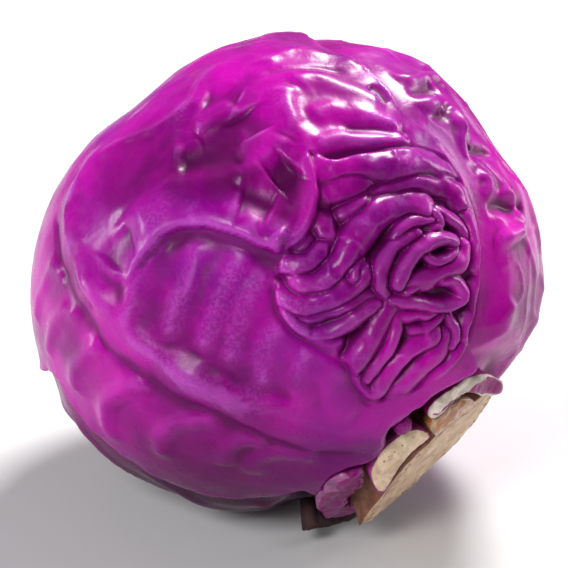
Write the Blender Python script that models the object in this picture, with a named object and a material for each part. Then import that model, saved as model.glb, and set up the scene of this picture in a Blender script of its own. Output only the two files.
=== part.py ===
"""A red cabbage head, as cut from the field, lying on its side on a small flat spot.

Its cut stem points low, forwards and to the right. Metres, +Z up; the origin is the middle of the
flat spot that it rests on. Run it with: blender --background --python part.py

The head is drawn as it is seen from in front. A point on the near side is given by where it lies in
that view, on a sheet of 568 x 568 pixels, and a point on the far side by two angles about the line of
sight. Every surface is a depth below one envelope, so leaves that overlap keep their order.
"""

import math

import bmesh
import bpy
import numpy as np
from mathutils import Vector, geometry, kdtree

MM = 0.001

# The view that the near side is drawn in: its height above the table, its distance, and its scale.
VIEW_ELEVATION = math.radians(25)
VIEW_DISTANCE = 0.75
SHEET_MIDDLE_PX = (284, 284)
HEAD_MIDDLE_PX = (284, 268)
HEAD_WIDTH_PX = 508

# Driving sizes of the head.
HEAD_WIDTH = 0.150
FRONT_RADIUS = 74.5 * MM
# The head's radius round its outline as seen, every 15 degrees, anticlockwise from the right.
LIMB_RADII_MM = (
    74.8, 74.0, 71.4, 72.0, 71.6, 69.0, 69.1, 67.6, 65.3, 65.0, 68.5, 71.6,
    74.2, 76.0, 76.5, 75.6, 73.8, 72.4, 70.3, 68.3, 66.5, 66.8, 70.4, 74.0,
)  # fmt: skip
REST_PRESS = 1.9 * MM
REST_CLEAR = 24 * MM

# The leaves: how thick they are at the margin and in the body, and how they lie over each other.
EDGE_THICKNESS = 1.0 * MM
LEAST_THICKNESS = 0.8 * MM
GAP = 0.65 * MM
HEART_GAP = 1.1 * MM
OVERLAP_RAMP = 11 * MM
FULL_COVER = 3 * MM
EDGE_TO_BODY = 15 * MM

# The stem: the two angles of its axis, its cut, and how it and the leaf bases round it fan out.
STEM_ROUND, STEM_FROM_SIGHT = -50, 75
CUT_ROUND, CUT_FROM_SIGHT = -45, 77
CUT_RADIUS = 71.0 * MM
STEM_ROOT = 50 * MM
STEM_FAN_NEAR, STEM_FAN_ACROSS = 15.3, 18.5
STEM_SPUR, STEM_SPUR_AT, STEM_SPUR_REACH = 4.6, 98, 44
COLLAR = 3.6 * MM
PIT_FLOOR = 48.6 * MM
PIT_RIM = 24.8
BLOCK_DEPTH = 3.2 * MM

PX_PER_M = HEAD_WIDTH_PX / HEAD_WIDTH
MEAN_RADIUS = 0.072
RIGHT = np.array([1.0, 0.0, 0.0])
UP = np.array([0.0, math.sin(VIEW_ELEVATION), math.cos(VIEW_ELEVATION)])
BACK = np.array([0.0, -math.cos(VIEW_ELEVATION), math.sin(VIEW_ELEVATION)])
EYE_DROP = (SHEET_MIDDLE_PX[1] - HEAD_MIDDLE_PX[1]) / PX_PER_M
EYE = VIEW_DISTANCE * BACK - EYE_DROP * UP


def unit(v):
    return v / np.linalg.norm(v)


def behind(round_deg, from_sight_deg):
    """The direction at an angle round the line of sight from the right, and an angle away from it."""
    turn, away = math.radians(round_deg), math.radians(from_sight_deg)
    flat = math.cos(turn) * RIGHT + math.sin(turn) * UP
    return math.cos(away) * BACK + math.sin(away) * flat


STEM_AXIS = behind(STEM_ROUND, STEM_FROM_SIGHT)
STEM_NEAR = unit(BACK - (BACK @ STEM_AXIS) * STEM_AXIS)
STEM_LEFT = np.cross(STEM_AXIS, STEM_NEAR)


def by_stem(round_deg, from_axis_deg):
    """The direction this far from the stem's axis, and turned this far from the side towards the view."""
    turn, away = math.radians(round_deg), math.radians(from_axis_deg)
    side = math.cos(turn) * STEM_NEAR + math.sin(turn) * STEM_LEFT
    return math.cos(away) * STEM_AXIS + math.sin(away) * side


def smoothstep(x):
    x = np.clip(x, 0.0, 1.0)
    return x * x * (3 - 2 * x)


def envelope(n):
    """The head's outer radius in each direction n, raised a little on the near side of the stem."""
    across = np.clip(1 - (n @ BACK) ** 2, 0, 1)
    turn = np.degrees(np.arctan2(n @ UP, n @ RIGHT)) % 360
    radii = np.array(LIMB_RADII_MM) * MM
    step = 360 / len(radii)
    k = (turn // step).astype(int)
    t = turn / step - k
    a, b, c, d = (radii[(k + i) % len(radii)] for i in (-1, 0, 1, 2))
    limb = b + 0.5 * t * (c - a + t * (2 * a - 5 * b + 4 * c - d + t * (3 * (b - c) + d - a)))
    from_stem = np.degrees(np.arccos(np.clip(n @ STEM_AXIS, -1, 1)))
    near_side = smoothstep(n @ STEM_NEAR / 0.36)
    collar = COLLAR * (1 - smoothstep((from_stem - 22) / 24)) * near_side
    return FRONT_RADIUS + (limb - FRONT_RADIUS) * across + collar


def seen(px, py):
    """The direction from the head's middle to the point seen at this pixel of the sheet."""
    focal = PX_PER_M * VIEW_DISTANCE
    x, y = (px - SHEET_MIDDLE_PX[0]) / focal, (SHEET_MIDDLE_PX[1] - py) / focal
    ray = unit(x * RIGHT + y * UP - BACK)
    nearest = -EYE @ ray
    miss = np.linalg.norm(EYE + nearest * ray)
    n = BACK
    for _ in range(5):
        radius = envelope(n[None])[0]
        n = unit(EYE + (nearest - math.sqrt(max(0.0, radius**2 - miss**2))) * ray)
    return n


def directions(points):
    """Directions from a list of pixel pairs and of directions."""
    return np.array([seen(*p) if len(p) == 2 else p for p in points])


def smooth_line(points, step, closed=False):
    """A Catmull-Rom curve through the points, over the unit sphere, cut about every step radians."""
    p = np.asarray(points)
    if closed:
        p = np.concatenate([p[-1:], p, p[:2]])
    else:
        p = np.concatenate([2 * p[:1] - p[1:2], p, 2 * p[-1:] - p[-2:-1]])
    found = []
    for a, b, c, d in zip(p[:-3], p[1:-2], p[2:-1], p[3:]):
        pieces = max(1, int(round(np.linalg.norm(c - b) / step)))
        for t in np.arange(pieces) / pieces:
            bend = 2 * a - 5 * b + 4 * c - d + t * (3 * (b - c) + d - a)
            found.append(b + 0.5 * t * (c - a + t * bend))
    if not closed:
        found.append(p[-2])
    found = np.array(found)
    return found / np.linalg.norm(found, axis=1)[:, None]


def distance_to(curve, n):
    """How far over the head each direction n is from the curve, its share along it, and its side."""
    a, ab = curve[:-1], curve[1:] - curve[:-1]
    length = np.linalg.norm(ab, axis=1)
    start = np.concatenate([[0], np.cumsum(length)[:-1]])
    distance, along, side = np.empty(len(n)), np.empty(len(n)), np.empty(len(n))
    for first in range(0, len(n), 2000):
        part = slice(first, first + 2000)
        ap = n[part, None, :] - a[None]
        t = np.clip((ap * ab).sum(-1) / length**2, 0, 1)
        off = ap - t[..., None] * ab
        k = (off**2).sum(-1).argmin(1)
        rows = np.arange(len(k))
        t, off = t[rows, k], off[rows, k]
        distance[part] = np.linalg.norm(off, axis=1) * MEAN_RADIUS
        along[part] = (start[k] + t * length[k]) / length.sum()
        side[part] = np.sign((np.cross(ab[k], off) * n[part]).sum(1))
    return distance, along, side


class Chart:
    """A flat map of the head about one direction: lengths from that direction are true."""

    def __init__(self, middle):
        self.w = unit(middle)
        helper = UP if abs(self.w @ UP) < 0.9 else RIGHT
        self.u = unit(np.cross(helper, self.w))
        self.v = np.cross(self.w, self.u)

    def flat(self, n):
        angle = np.arccos(np.clip(n @ self.w, -1, 1))
        x, y = n @ self.u, n @ self.v
        scale = angle * MEAN_RADIUS / np.maximum(np.hypot(x, y), 1e-12)
        return np.stack([x * scale, y * scale], axis=1)

    def round(self, q):
        length = np.hypot(q[:, 0], q[:, 1])
        angle = (length / MEAN_RADIUS)[:, None]
        away = q / np.maximum(length, 1e-12)[:, None]
        flat = away[:, :1] * self.u + away[:, 1:] * self.v
        return np.cos(angle) * self.w + np.sin(angle) * flat


def inside(polygon, q):
    """Which of the flat points q lie in the closed polygon."""
    a, b = polygon, np.roll(polygon, -1, axis=0)
    rise = np.where(b[:, 1] == a[:, 1], 1e-12, b[:, 1] - a[:, 1])
    found = np.empty(len(q), bool)
    for first in range(0, len(q), 4000):
        part = slice(first, first + 4000)
        x, y = q[part, :1], q[part, 1:]
        crosses = (a[:, 1] > y) != (b[:, 1] > y)
        left = x < a[:, 0] + (y - a[:, 1]) * (b[:, 0] - a[:, 0]) / rise
        found[part] = (crosses & left).sum(1) % 2 == 1
    return found


class Outline:
    """A closed line over the head. depth_in is the distance in from it, negative outside."""

    def __init__(self, middle, points, step_mm=4.6):
        self.chart = Chart(middle)
        line = smooth_line(directions(points), step_mm * MM / MEAN_RADIUS, closed=True)
        polygon = self.chart.flat(line)
        x, y = polygon[:, 0], polygon[:, 1]
        if x @ np.roll(y, -1) < y @ np.roll(x, -1):
            line, polygon = line[::-1], polygon[::-1]
        self.line, self.polygon = line, polygon
        self.loop = np.concatenate([line, line[:1]])

    def depth_in(self, n):
        distance = distance_to(self.loop, n)[0]
        return np.where(inside(self.polygon, self.chart.flat(n)), distance, -distance)


# Margins. A pair is a pixel of the near side.
FRONT_MARGIN = Outline(seen(270, 260), [
    (371, 75), (388, 92), (397, 107), (411, 119), (426, 132), (440, 142), (454, 162), (465, 188),
    (474, 214), (479, 240), (480, 270), (476, 305), (468, 335), by_stem(-38, 29.5), by_stem(-30, 28.3),
    by_stem(-20, 28.5), by_stem(-6, 28.9), by_stem(5, 29.2), by_stem(13, 28.2), by_stem(18, 25.8),
    by_stem(24, 25.0), by_stem(30, 26.0), by_stem(35, 28.2), by_stem(41, 31.2), by_stem(52, 32.2),
    by_stem(63, 31.7), (300, 490), (262, 497), (222, 496), (180, 486), (142, 467), (112, 447), (88, 424),
    (68, 396), (52, 372), behind(200, 97), behind(186, 108), behind(168, 116), behind(148, 119),
    behind(128, 115), behind(108, 106), behind(92, 97), (311, 39), (330, 50), (350, 60),
])  # fmt: skip
RIGHT_MARGIN = Outline(behind(18, 80), [
    (300, 60), (345, 110), (390, 170), (425, 235), (440, 300), (446, 340), by_stem(-40, 25),
    by_stem(-56, 20.5), by_stem(-90, 19.7), by_stem(-128, 19.6), behind(-30, 108), behind(-20, 126),
    behind(0, 140), behind(28, 143), behind(58, 134), behind(80, 117), behind(92, 100),
])  # fmt: skip
UNDER_MARGIN = Outline(behind(238, 112), [
    by_stem(56, 25), (318, 452), (270, 452), (215, 440), (160, 420), (112, 388), (80, 350),
    behind(190, 82), behind(184, 104), behind(192, 128), behind(216, 146), behind(252, 152),
    behind(282, 143), behind(292, 126), behind(296, 108), by_stem(128, 22.6), by_stem(95, 24.4),
    by_stem(66, 22.8),
])  # fmt: skip
BACK_MARGIN = Outline(behind(118, 158), [
    behind(92, 90), behind(120, 98), behind(150, 102), behind(176, 104), behind(196, 116),
    behind(218, 134), behind(262, 141), behind(276, 128), behind(281, 108), by_stem(112, 30),
    by_stem(119, 24.4), by_stem(150, 20.2), by_stem(180, 19.6), by_stem(210, 19.6), by_stem(241, 21),
    by_stem(248, 30), behind(338, 106), behind(346, 118), behind(8, 124), behind(36, 122), behind(64, 110),
])  # fmt: skip


# How much wider than its traced line a crumpled roll spreads, so that neighbours meet in a crease.
ROLL_SPREAD = 1.6
ROLL_ROUNDNESS = 0.75
# The share of a lip's width over which its front rises.
LIP_FRONT = 0.38


class Fold:
    """A raised roll, a soft ridge, a groove (a ridge of negative height) or a lip along a line."""

    def __init__(self, kind, width_mm, height_mm, points):
        spread = ROLL_SPREAD if kind == "roll" else 1
        self.kind, self.width, self.height = kind, width_mm * MM * spread, height_mm * MM
        self.line = smooth_line(directions(points), 2.2 * MM / MEAN_RADIUS)
        self.middle = self.line.mean(0)
        self.reach = np.linalg.norm(self.line - self.middle, axis=1).max() + 3 * self.width / MEAN_RADIUS

    def rise(self, n):
        found = np.zeros(len(n))
        near = np.linalg.norm(n - self.middle, axis=1) < self.reach
        if not near.any():
            return found
        distance, along, side = distance_to(self.line, n[near])
        share = distance / self.width
        if self.kind == "roll":
            rise = np.clip(1 - share**2, 0, 1) ** ROLL_ROUNDNESS * (0.8 + 0.2 * np.sin(math.pi * along))
        elif self.kind == "lip":
            front = smoothstep(share / LIP_FRONT)
            fade = 1 - smoothstep((share - LIP_FRONT) / 2.0)
            rise = np.where(side > 0, front * fade, 0)
            rise = rise * smoothstep(along / 0.3) * smoothstep((1 - along) / 0.05)
        else:
            rise = np.exp(-(share**2)) * smoothstep(along / 0.15) * smoothstep((1 - along) / 0.15)
        found[near] = self.height * rise
        return found


def folds(kind, *rows):
    """Folds from rows of width and height in mm, and the points of the line."""
    return [Fold(kind, row[0], row[1], row[2:]) for row in rows]


# The front leaf's midrib, thick at the stem, and the creases beside it.
MIDRIB = folds(
    "ridge",
    (6.5, 2.2, by_stem(10, 20), (378, 432), (346, 432), (312, 424), (268, 410), (228, 394), (192, 376),
     (160, 352)),
    (4.4, 1.9, (262, 412), (210, 388), (172, 365), (138, 338), (112, 310), (92, 282), (80, 254)),
    (3.4, 1.5, (120, 322), (100, 294), (82, 264), (71, 236), (70, 208), (80, 180), (96, 156), (112, 146)),
    (1.6, -0.8, (366, 454), (330, 453), (298, 447), (249, 429), (210, 413), (182, 400), (145, 379),
     (114, 350)),
    (1.3, -0.6, (150, 382), (122, 360), (96, 331), (77, 300), (63, 268), (57, 240), (58, 208)),
    (3.2, -0.3, (176, 350), (196, 364), (220, 375), (249, 387), (277, 393), (304, 405)),
)  # fmt: skip
# Side veins: those of the smooth part run up from the midrib, the others arch away below it.
SIDE_VEINS = folds(
    "ridge",
    (2.4, 0.8, (131, 330), (131, 300), (137, 274), (152, 252), (174, 236)),
    (3.2, 1.0, (164, 344), (175, 312), (184, 285), (194, 256), (208, 234)),
    (3.2, 0.9, (198, 358), (209, 328), (218, 304), (232, 274), (250, 250)),
    (3.2, 0.8, (228, 374), (233, 342), (240, 313), (252, 288), (274, 264)),
    (3.0, 0.7, (262, 390), (262, 362), (270, 337), (284, 320)),
    (2.6, 0.6, (306, 406), (298, 382), (302, 362), (314, 346)),
    (3.2, 0.7, (352, 416), (334, 398), (334, 380), (346, 364)),
    (3.0, 1.5, (156, 384), (138, 383), (122, 386), (110, 396), (105, 412), (110, 430), (124, 448)),
    (3.0, 1.5, (226, 421), (202, 420), (182, 422), (166, 431), (160, 444), (168, 462)),
    (2.8, 1.3, (274, 444), (252, 440), (236, 443), (226, 452), (226, 468)),
    (2.8, 1.2, (322, 456), (298, 451), (276, 451), (258, 460), (252, 476)),
    (2.8, 1.3, (108, 352), (94, 348), (84, 356), (76, 372), (74, 392)),
    (2.5, 1.1, (84, 318), (70, 312), (58, 318), (51, 336), (50, 360)),
    (2.5, 1.0, (67, 276), (54, 270), (44, 282), (38, 306), (38, 328)),
)
# Long folds and hollows of the upper part.
UPPER_FOLDS = folds(
    "ridge",
    (2.6, 1.1, (86, 170), (100, 158), (126, 141), (151, 131), (170, 119), (190, 102), (203, 81), (222, 60)),
    (3.4, 1.0, (192, 131), (208, 122), (222, 113), (236, 103)),
    (3.2, 0.8, (170, 156), (186, 147), (200, 137)),
    (4.6, 1.3, (104, 232), (128, 214), (150, 198), (166, 188), (184, 182), (206, 182), (230, 180),
     (256, 168)),
    (3.6, 1.3, (232, 182), (252, 170), (272, 154), (288, 136)),
    (7.4, 2.6, (132, 236), (152, 216), (178, 200), (202, 199), (226, 214), (250, 230), (278, 238)),
    (3.6, 2.9, (262, 234), (286, 240), (304, 230), (313, 208), (314, 184), (310, 160), (306, 146)),
    (3.6, 1.9, (310, 160), (304, 140), (292, 127), (283, 106), (285, 84)),
    (3.6, 1.6, (312, 150), (334, 142), (358, 142), (386, 144), (412, 143)),
    (3.6, 1.3, (306, 120), (330, 110), (352, 113), (378, 122), (404, 129)),
    (4.8, 1.4, (288, 86), (312, 80), (338, 88), (364, 99), (388, 106)),
    (3.6, 1.1, (252, 68), (280, 54), (308, 51), (334, 58), (358, 72)),
    (2.4, -0.8, (106, 226), (120, 216), (140, 202), (156, 190), (172, 178), (190, 172)),
    (1.6, -1.2, (316, 158), (332, 161), (358, 155), (390, 149), (418, 151)),
    (2.0, -0.9, (338, 130), (362, 130), (386, 134), (410, 135)),
    (1.6, -0.7, (258, 76), (290, 69), (320, 69), (352, 73)),
    (2.0, -1.1, (366, 86), (378, 92), (390, 103)),
    (7.5, -2.0, (176, 164), (198, 156), (224, 152), (246, 146)),
    (5.2, -1.3, (200, 102), (220, 98), (242, 98)),
    (5.0, -1.6, (240, 112), (246, 122), (254, 136)),
    (4.8, -2.2, (270, 182), (282, 174), (294, 164)),
    (5.0, -1.5, (238, 206), (256, 208), (272, 212)),
    (5.5, -1.1, (112, 268), (120, 250), (136, 236)),
)  # fmt: skip
# Where the big fold ends in a rounded step above the smooth part.
LIPS = folds(
    "lip",
    (5.5, 2.9, (128, 296), (138, 270), (154, 252), (176, 236), (204, 231), (234, 238), (260, 250),
     (283, 259)),
)
# The crumpled folds beside the stem: rounded rolls with creases where they meet.
CRUMPLE = Outline(seen(375, 275), [
    (310, 156), (316, 182), (317, 206), (304, 240), (284, 256), (275, 288), (279, 312), (296, 333),
    (322, 347), (346, 361), (357, 386), (371, 400), (388, 397), (412, 391), (432, 381), (452, 365),
    (468, 341), (476, 308), (479, 275), (478, 240), (471, 206), (458, 174), (428, 151), (360, 155),
    (330, 161),
])  # fmt: skip
CRUMPLE_ROLLS = folds(
    "roll",
    (4.4, 4.6, (318, 172), (336, 167), (356, 165), (380, 166), (404, 166), (428, 167), (446, 173)),
    (3.6, 4.0, (320, 190), (336, 188), (352, 184), (370, 178)),
    (2.9, 4.6, (372, 200), (388, 191), (406, 185), (424, 182), (442, 181), (455, 187), (464, 200)),
    (2.2, 3.6, (345, 217), (356, 210), (369, 201)),
    (3.3, 5.6, (303, 283), (315, 284), (329, 277), (341, 262), (351, 245), (362, 228), (376, 214),
     (392, 206), (408, 203), (423, 206)),
    (3.0, 3.8, (317, 222), (325, 232), (331, 245)),
    (2.4, 3.9, (286, 262), (297, 266), (309, 263), (320, 254), (329, 245)),
    (2.0, 3.0, (303, 252), (313, 240), (318, 226)),
    (3.0, 4.6, (282, 299), (297, 304), (316, 302), (336, 294), (352, 285), (364, 273)),
    (1.7, 5.2, (352, 283), (358, 270), (362, 263)),
    (2.3, 3.4, (278, 290), (281, 306), (291, 321), (304, 332), (318, 340), (335, 346)),
    (2.0, 3.4, (298, 318), (314, 318), (331, 312), (347, 306), (362, 300), (374, 297)),
    (2.4, 4.1, (310, 337), (326, 335), (341, 328), (354, 317), (366, 309), (376, 305)),
    (2.7, 5.1, (352, 366), (358, 359), (367, 346), (376, 330), (384, 315), (389, 304)),
    (2.0, 4.5, (366, 378), (378, 362), (390, 342), (396, 328), (395, 316)),
    (2.5, 4.6, (353, 372), (357, 386), (366, 394), (376, 392), (384, 382), (394, 367), (408, 353),
     (424, 343), (434, 337)),
    (2.6, 4.0, (396, 390), (412, 379), (426, 365), (436, 352), (444, 340)),
    (2.0, 5.0, (387, 295), (382, 281), (383, 265), (391, 250), (402, 240), (413, 234)),
    (2.0, 5.6, (398, 282), (404, 267), (413, 252), (426, 243), (440, 238), (452, 243)),
    (2.5, 5.2, (402, 285), (417, 282), (433, 277), (448, 270), (460, 261), (464, 249)),
    (1.3, 4.3, (424, 256), (434, 262), (446, 259), (454, 250)),
    (1.8, 4.8, (406, 291), (418, 284), (434, 280), (450, 280), (460, 288), (461, 298), (450, 307),
     (434, 309), (418, 305), (402, 301), (390, 300)),
    (1.8, 3.6, (392, 311), (405, 318), (421, 317), (437, 313), (447, 307)),
    (1.4, 3.4, (411, 334), (424, 333), (436, 326), (444, 317)),
    (1.5, 3.4, (450, 318), (455, 332), (450, 345)),
    (1.8, 3.8, (436, 211), (450, 216), (461, 225), (468, 238)),
    (1.8, 4.8, (394, 240), (399, 229), (410, 222), (425, 218), (437, 221)),
    (1.7, 4.4, (424, 207), (434, 212), (438, 221), (431, 230)),
    (2.2, 3.6, (418, 391), (438, 377), (455, 360), (467, 339), (472, 318)),
    (1.6, 3.0, (464, 348), (471, 328), (475, 306), (476, 286)),
    (1.7, 3.2, (466, 206), (472, 226), (475, 248), (475, 266)),
)  # fmt: skip
LEVEL_OF_CRUMPLE = -2.4 * MM
LEVEL_OF_SMOOTH = -1.1 * MM
SMOOTH_RADIUS = 27 * MM
SMOOTH_MIDDLE = seen(226, 318)

# Dimples and ridges of the right leaf.
RIGHT_FOLDS = folds(
    "ridge",
    (2.2, 1.5, (372, 72), (392, 75), (412, 80), (428, 79), (444, 84)),
    (2.2, -1.4, (404, 89), (420, 92), (436, 88)),
    (3.4, 1.8, (400, 100), (420, 104), (438, 102)),
    (2.0, -2.2, (410, 115), (424, 125), (437, 118), (452, 107)),
    (2.4, 2.6, (446, 104), (457, 120), (461, 140), (466, 160)),
    (1.8, -1.8, (467, 120), (467, 136), (474, 148), (490, 150)),
    (2.2, -2.2, (446, 150), (460, 166), (482, 172)),
    (2.0, 2.2, (468, 174), (484, 176), (488, 190), (480, 204)),
    (2.6, -2.3, (470, 213), (490, 208), (510, 206), (524, 214)),
    (2.2, 2.4, (484, 276), (493, 252), (503, 239), (520, 230)),
    (1.8, -2.0, (486, 292), (489, 280), (497, 264)),
    (2.6, 1.4, (496, 186), (508, 200), (517, 220), (521, 244)),
    (3.2, 1.0, (512, 300), (500, 330), (486, 362)),
)


def vein_tree(chart, base, tip, pairs, midrib, side):
    """A midrib from base to tip with curved side veins off both sides, as folds. Sizes are in mm."""
    a, b = chart.flat(np.array([base, tip]))
    length = np.linalg.norm(b - a)
    forward = (b - a) / length
    over = np.array([-forward[1], forward[0]])
    lines = [(midrib, np.array([a + t * (b - a) for t in np.linspace(0, 1, 7)]))]
    t = np.linspace(0, 1, 6)[:, None]
    for k in range(pairs):
        for hand in (-1, 1):
            start = a + forward * length * (0.08 + 0.8 * (k + 0.25 * (hand > 0)) / pairs)
            reach = length * (0.62 - 0.34 * k / pairs)
            lines.append((side, start + reach * (forward * (0.3 * t + 0.4 * t * t) + hand * over * 0.85 * t)))
    return [Fold("ridge", size[0], size[1], chart.round(line)) for size, line in lines]


RIGHT_VEINS = vein_tree(RIGHT_MARGIN.chart, by_stem(-88, 24), behind(62, 124), 5, (3.4, 1.5), (2.0, 0.9))
UNDER_VEINS = vein_tree(UNDER_MARGIN.chart, by_stem(96, 24), behind(204, 120), 5, (4.0, 1.9), (2.1, 1.1))
BACK_VEINS = vein_tree(BACK_MARGIN.chart, by_stem(180, 24), behind(127, 112), 6, (4.2, 2.0), (2.1, 1.1))


def total(some_folds, n):
    return np.sum([fold.rise(n) for fold in some_folds], axis=0)


def highest(some_folds, n):
    return np.max([fold.rise(n) for fold in some_folds], axis=0)


def front_relief(n):
    """How far the front leaf's outer face stands above the envelope."""
    rise = total(MIDRIB + SIDE_VEINS + UPPER_FOLDS + LIPS, n)
    crumple = smoothstep(CRUMPLE.depth_in(n) / (1.6 * MM) + 0.5)
    far = np.linalg.norm(n - SMOOTH_MIDDLE, axis=1) * MEAN_RADIUS
    rise += LEVEL_OF_SMOOTH * (1 - smoothstep(far / SMOOTH_RADIUS - 0.4))
    return rise * (1 - crumple) + crumple * (LEVEL_OF_CRUMPLE + highest(CRUMPLE_ROLLS, n))


def press(points, depth):
    """Flattens what lies on the table: a surface this deep in the head stays that far above it."""
    points[:, 2] = np.maximum(points[:, 2], depth)
    return points


def lowest_point():
    """The envelope's lowest point, from the head's middle."""
    ring = np.array([behind(a, b) for a in np.arange(230, 310, 0.5) for b in np.arange(95, 135, 0.5)])
    points = ring * envelope(ring)[:, None]
    return points[points[:, 2].argmin()]


LOWEST = lowest_point()
HEAD_MIDDLE = np.array([-LOWEST[0], -LOWEST[1], -LOWEST[2] - REST_PRESS])
REST_DIRECTION = unit(LOWEST)


def near_rest(n):
    """1 round the flat spot, where the leaf is bare of relief, and 0 elsewhere."""
    away = np.linalg.norm(n - REST_DIRECTION, axis=1) * MEAN_RADIUS
    return 1 - smoothstep(away / REST_CLEAR - 1)


def at(n, depth):
    """World points at these depths below the envelope."""
    return press(HEAD_MIDDLE + n * (envelope(n) - depth)[:, None], depth)


def passing_under(pieces, n, gap=GAP):
    """How deep a surface lies so as to pass under these pieces, rising again outside their margins."""
    depth = np.zeros(len(n))
    for piece in pieces:
        cover = smoothstep(1 + (piece.margin.depth_in(n) + FULL_COVER) / OVERLAP_RAMP)
        some = cover > 0
        if some.any():
            depth[some] = np.maximum(depth[some], cover[some] * (piece.inner(n[some]) + gap))
    return depth


class Leaf:
    """One leaf: its margin, what lies over it, its body thickness and its relief."""

    def __init__(self, name, margin, over, body_mm, relief, extra=None):
        self.name, self.margin, self.over, self.relief = name, margin, over, relief
        self.body, self.extra = body_mm * MM, extra

    def outer_depth(self, n):
        return passing_under(self.over, n)

    def inner(self, n):
        depth_in = self.margin.depth_in(n)
        thickness = EDGE_THICKNESS + (self.body - EDGE_THICKNESS) * smoothstep(depth_in / EDGE_TO_BODY)
        if self.extra:
            thickness += self.extra(n)
        return self.outer_depth(n) + thickness

    def outer(self, n):
        outer = self.outer_depth(n)
        bare = np.clip(1 - outer / EDGE_THICKNESS, 0, 1)
        edge = smoothstep(self.margin.depth_in(n) / (4.5 * MM))
        rise = self.relief(n) * bare * edge * (1 - near_rest(n))
        return np.minimum(outer - rise, self.inner(n) - LEAST_THICKNESS)


class Block:
    """A cut leaf base, or another thick scrap: its margin, the plane of its cut, and its depth."""

    def __init__(self, name, middle, points, radius_mm, facing, depth=BLOCK_DEPTH, wave_mm=0.0):
        self.name, self.margin, self.over = name, Outline(middle, points, 2.0), []
        self.plane, self.facing = unit(middle) * radius_mm * MM, facing
        self.depth, self.wave = depth, wave_mm * MM

    def outer(self, n):
        radius = (self.plane @ self.facing) / (n @ self.facing)
        worn = 0.5 * MM * (1 - smoothstep(self.margin.depth_in(n) / (1.2 * MM)))
        wave = self.wave * np.sin(self.margin.chart.flat(n)[:, 0] / (1.7 * MM))
        return np.minimum(envelope(n) - radius + worn - wave, self.inner(n) - LEAST_THICKNESS)

    def inner(self, n):
        return np.full(len(n), self.depth)


def round_stem(rows):
    return [by_stem(turn, away) for turn, away in rows]


PALE_BASE = Block("cut_leaf_base", by_stem(22, 19.4), round_stem([
    (-2, 16.0), (10, 16.1), (22, 16.3), (34, 16.9), (46, 17.6), (53, 18.3), (51, 20.0), (44, 22.2),
    (36, 24.0), (23, 24.3), (11, 23.0), (2, 20.8), (-3, 17.8),
]), 73.4, behind(-52, 44), 4.4 * MM)  # fmt: skip
BROWN_BASE = Block("cut_leaf_base_brown", by_stem(-24, 18.8), round_stem([
    (-45, 17.4), (-36, 16.9), (-24, 16.4), (-14, 16.1), (-7, 16.0), (-6, 18.0), (-11, 20.6), (-20, 21.9),
    (-30, 21.6), (-39, 20.2), (-46, 18.4),
]), 74.2, behind(-36, 55), 4.4 * MM)  # fmt: skip
TORN_BASE = Block("torn_leaf_base", by_stem(-40, 24.4), round_stem([
    (-72, 19.0), (-62, 19.2), (-52, 19.5), (-46, 20.6), (-36, 22.3), (-24, 22.9), (-12, 22.6), (-9, 24.0),
    (-14, 25.8), (-24, 26.4), (-36, 26.2), (-48, 25.2), (-60, 23.6), (-68, 21.9), (-73, 20.4),
]), 74.4, behind(-38, 58), 3.4 * MM, 0.35)  # fmt: skip
STUB = Block("leaf_stub", by_stem(70, 24), round_stem([
    (38, 25.2), (46, 23.9), (54, 22.3), (60, 21.9), (68, 22.9), (84, 24.3), (98, 24.4), (110, 24.3),
    (112, 26.5), (108, 29.6), (98, 30.4), (84, 30.6), (68, 31.2), (54, 31.4), (45, 30.6), (39, 28.0),
]), 72.6, behind(-70, 71), 3.4 * MM, 0.4)  # fmt: skip
BUD = Block("bud", by_stem(5.5, 25.8), round_stem([
    (5.5, 28.2), (1.8, 27.5), (0.3, 25.8), (1.8, 24.1), (5.5, 23.6), (9.4, 24.1), (11.0, 25.8), (9.4, 27.5),
]), 74.0, behind(-50, 52), 3.0 * MM)  # fmt: skip
SCRAP = Block("dry_leaf_scrap", by_stem(108, 29), round_stem([
    (93, 31.8), (99, 31.5), (106, 31.0), (112, 29.8), (115.4, 27.4), (119, 28.4), (115.5, 31.4),
    (110, 33.6), (105, 35.6), (100, 34.4), (96, 36.2), (92, 34.6), (91, 32.8),
]), 76.2, behind(-76, 84), 1.4 * MM, 0.4)  # fmt: skip
BLOCKS = [PALE_BASE, BROWN_BASE, TORN_BASE, STUB, BUD, SCRAP]


def crumple_extra(n):
    return 2.2 * MM * smoothstep((CRUMPLE.depth_in(n) + 3 * MM) / (9 * MM))


def right_relief(n):
    return total(RIGHT_FOLDS + RIGHT_VEINS, n)


def under_relief(n):
    return total(UNDER_VEINS, n)


def back_relief(n):
    return total(BACK_VEINS, n)


FRONT_LEAF = Leaf("front_leaf", FRONT_MARGIN, [], 2.5, front_relief, crumple_extra)
UNDER_LEAF = Leaf("under_leaf", UNDER_MARGIN, [FRONT_LEAF] + BLOCKS, 1.7, under_relief)
RIGHT_LEAF = Leaf("right_leaf", RIGHT_MARGIN, [FRONT_LEAF, UNDER_LEAF] + BLOCKS, 3.1, right_relief)
BACK_LEAF = Leaf("back_leaf", BACK_MARGIN, [FRONT_LEAF, UNDER_LEAF, RIGHT_LEAF] + BLOCKS, 1.8, back_relief)


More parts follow.
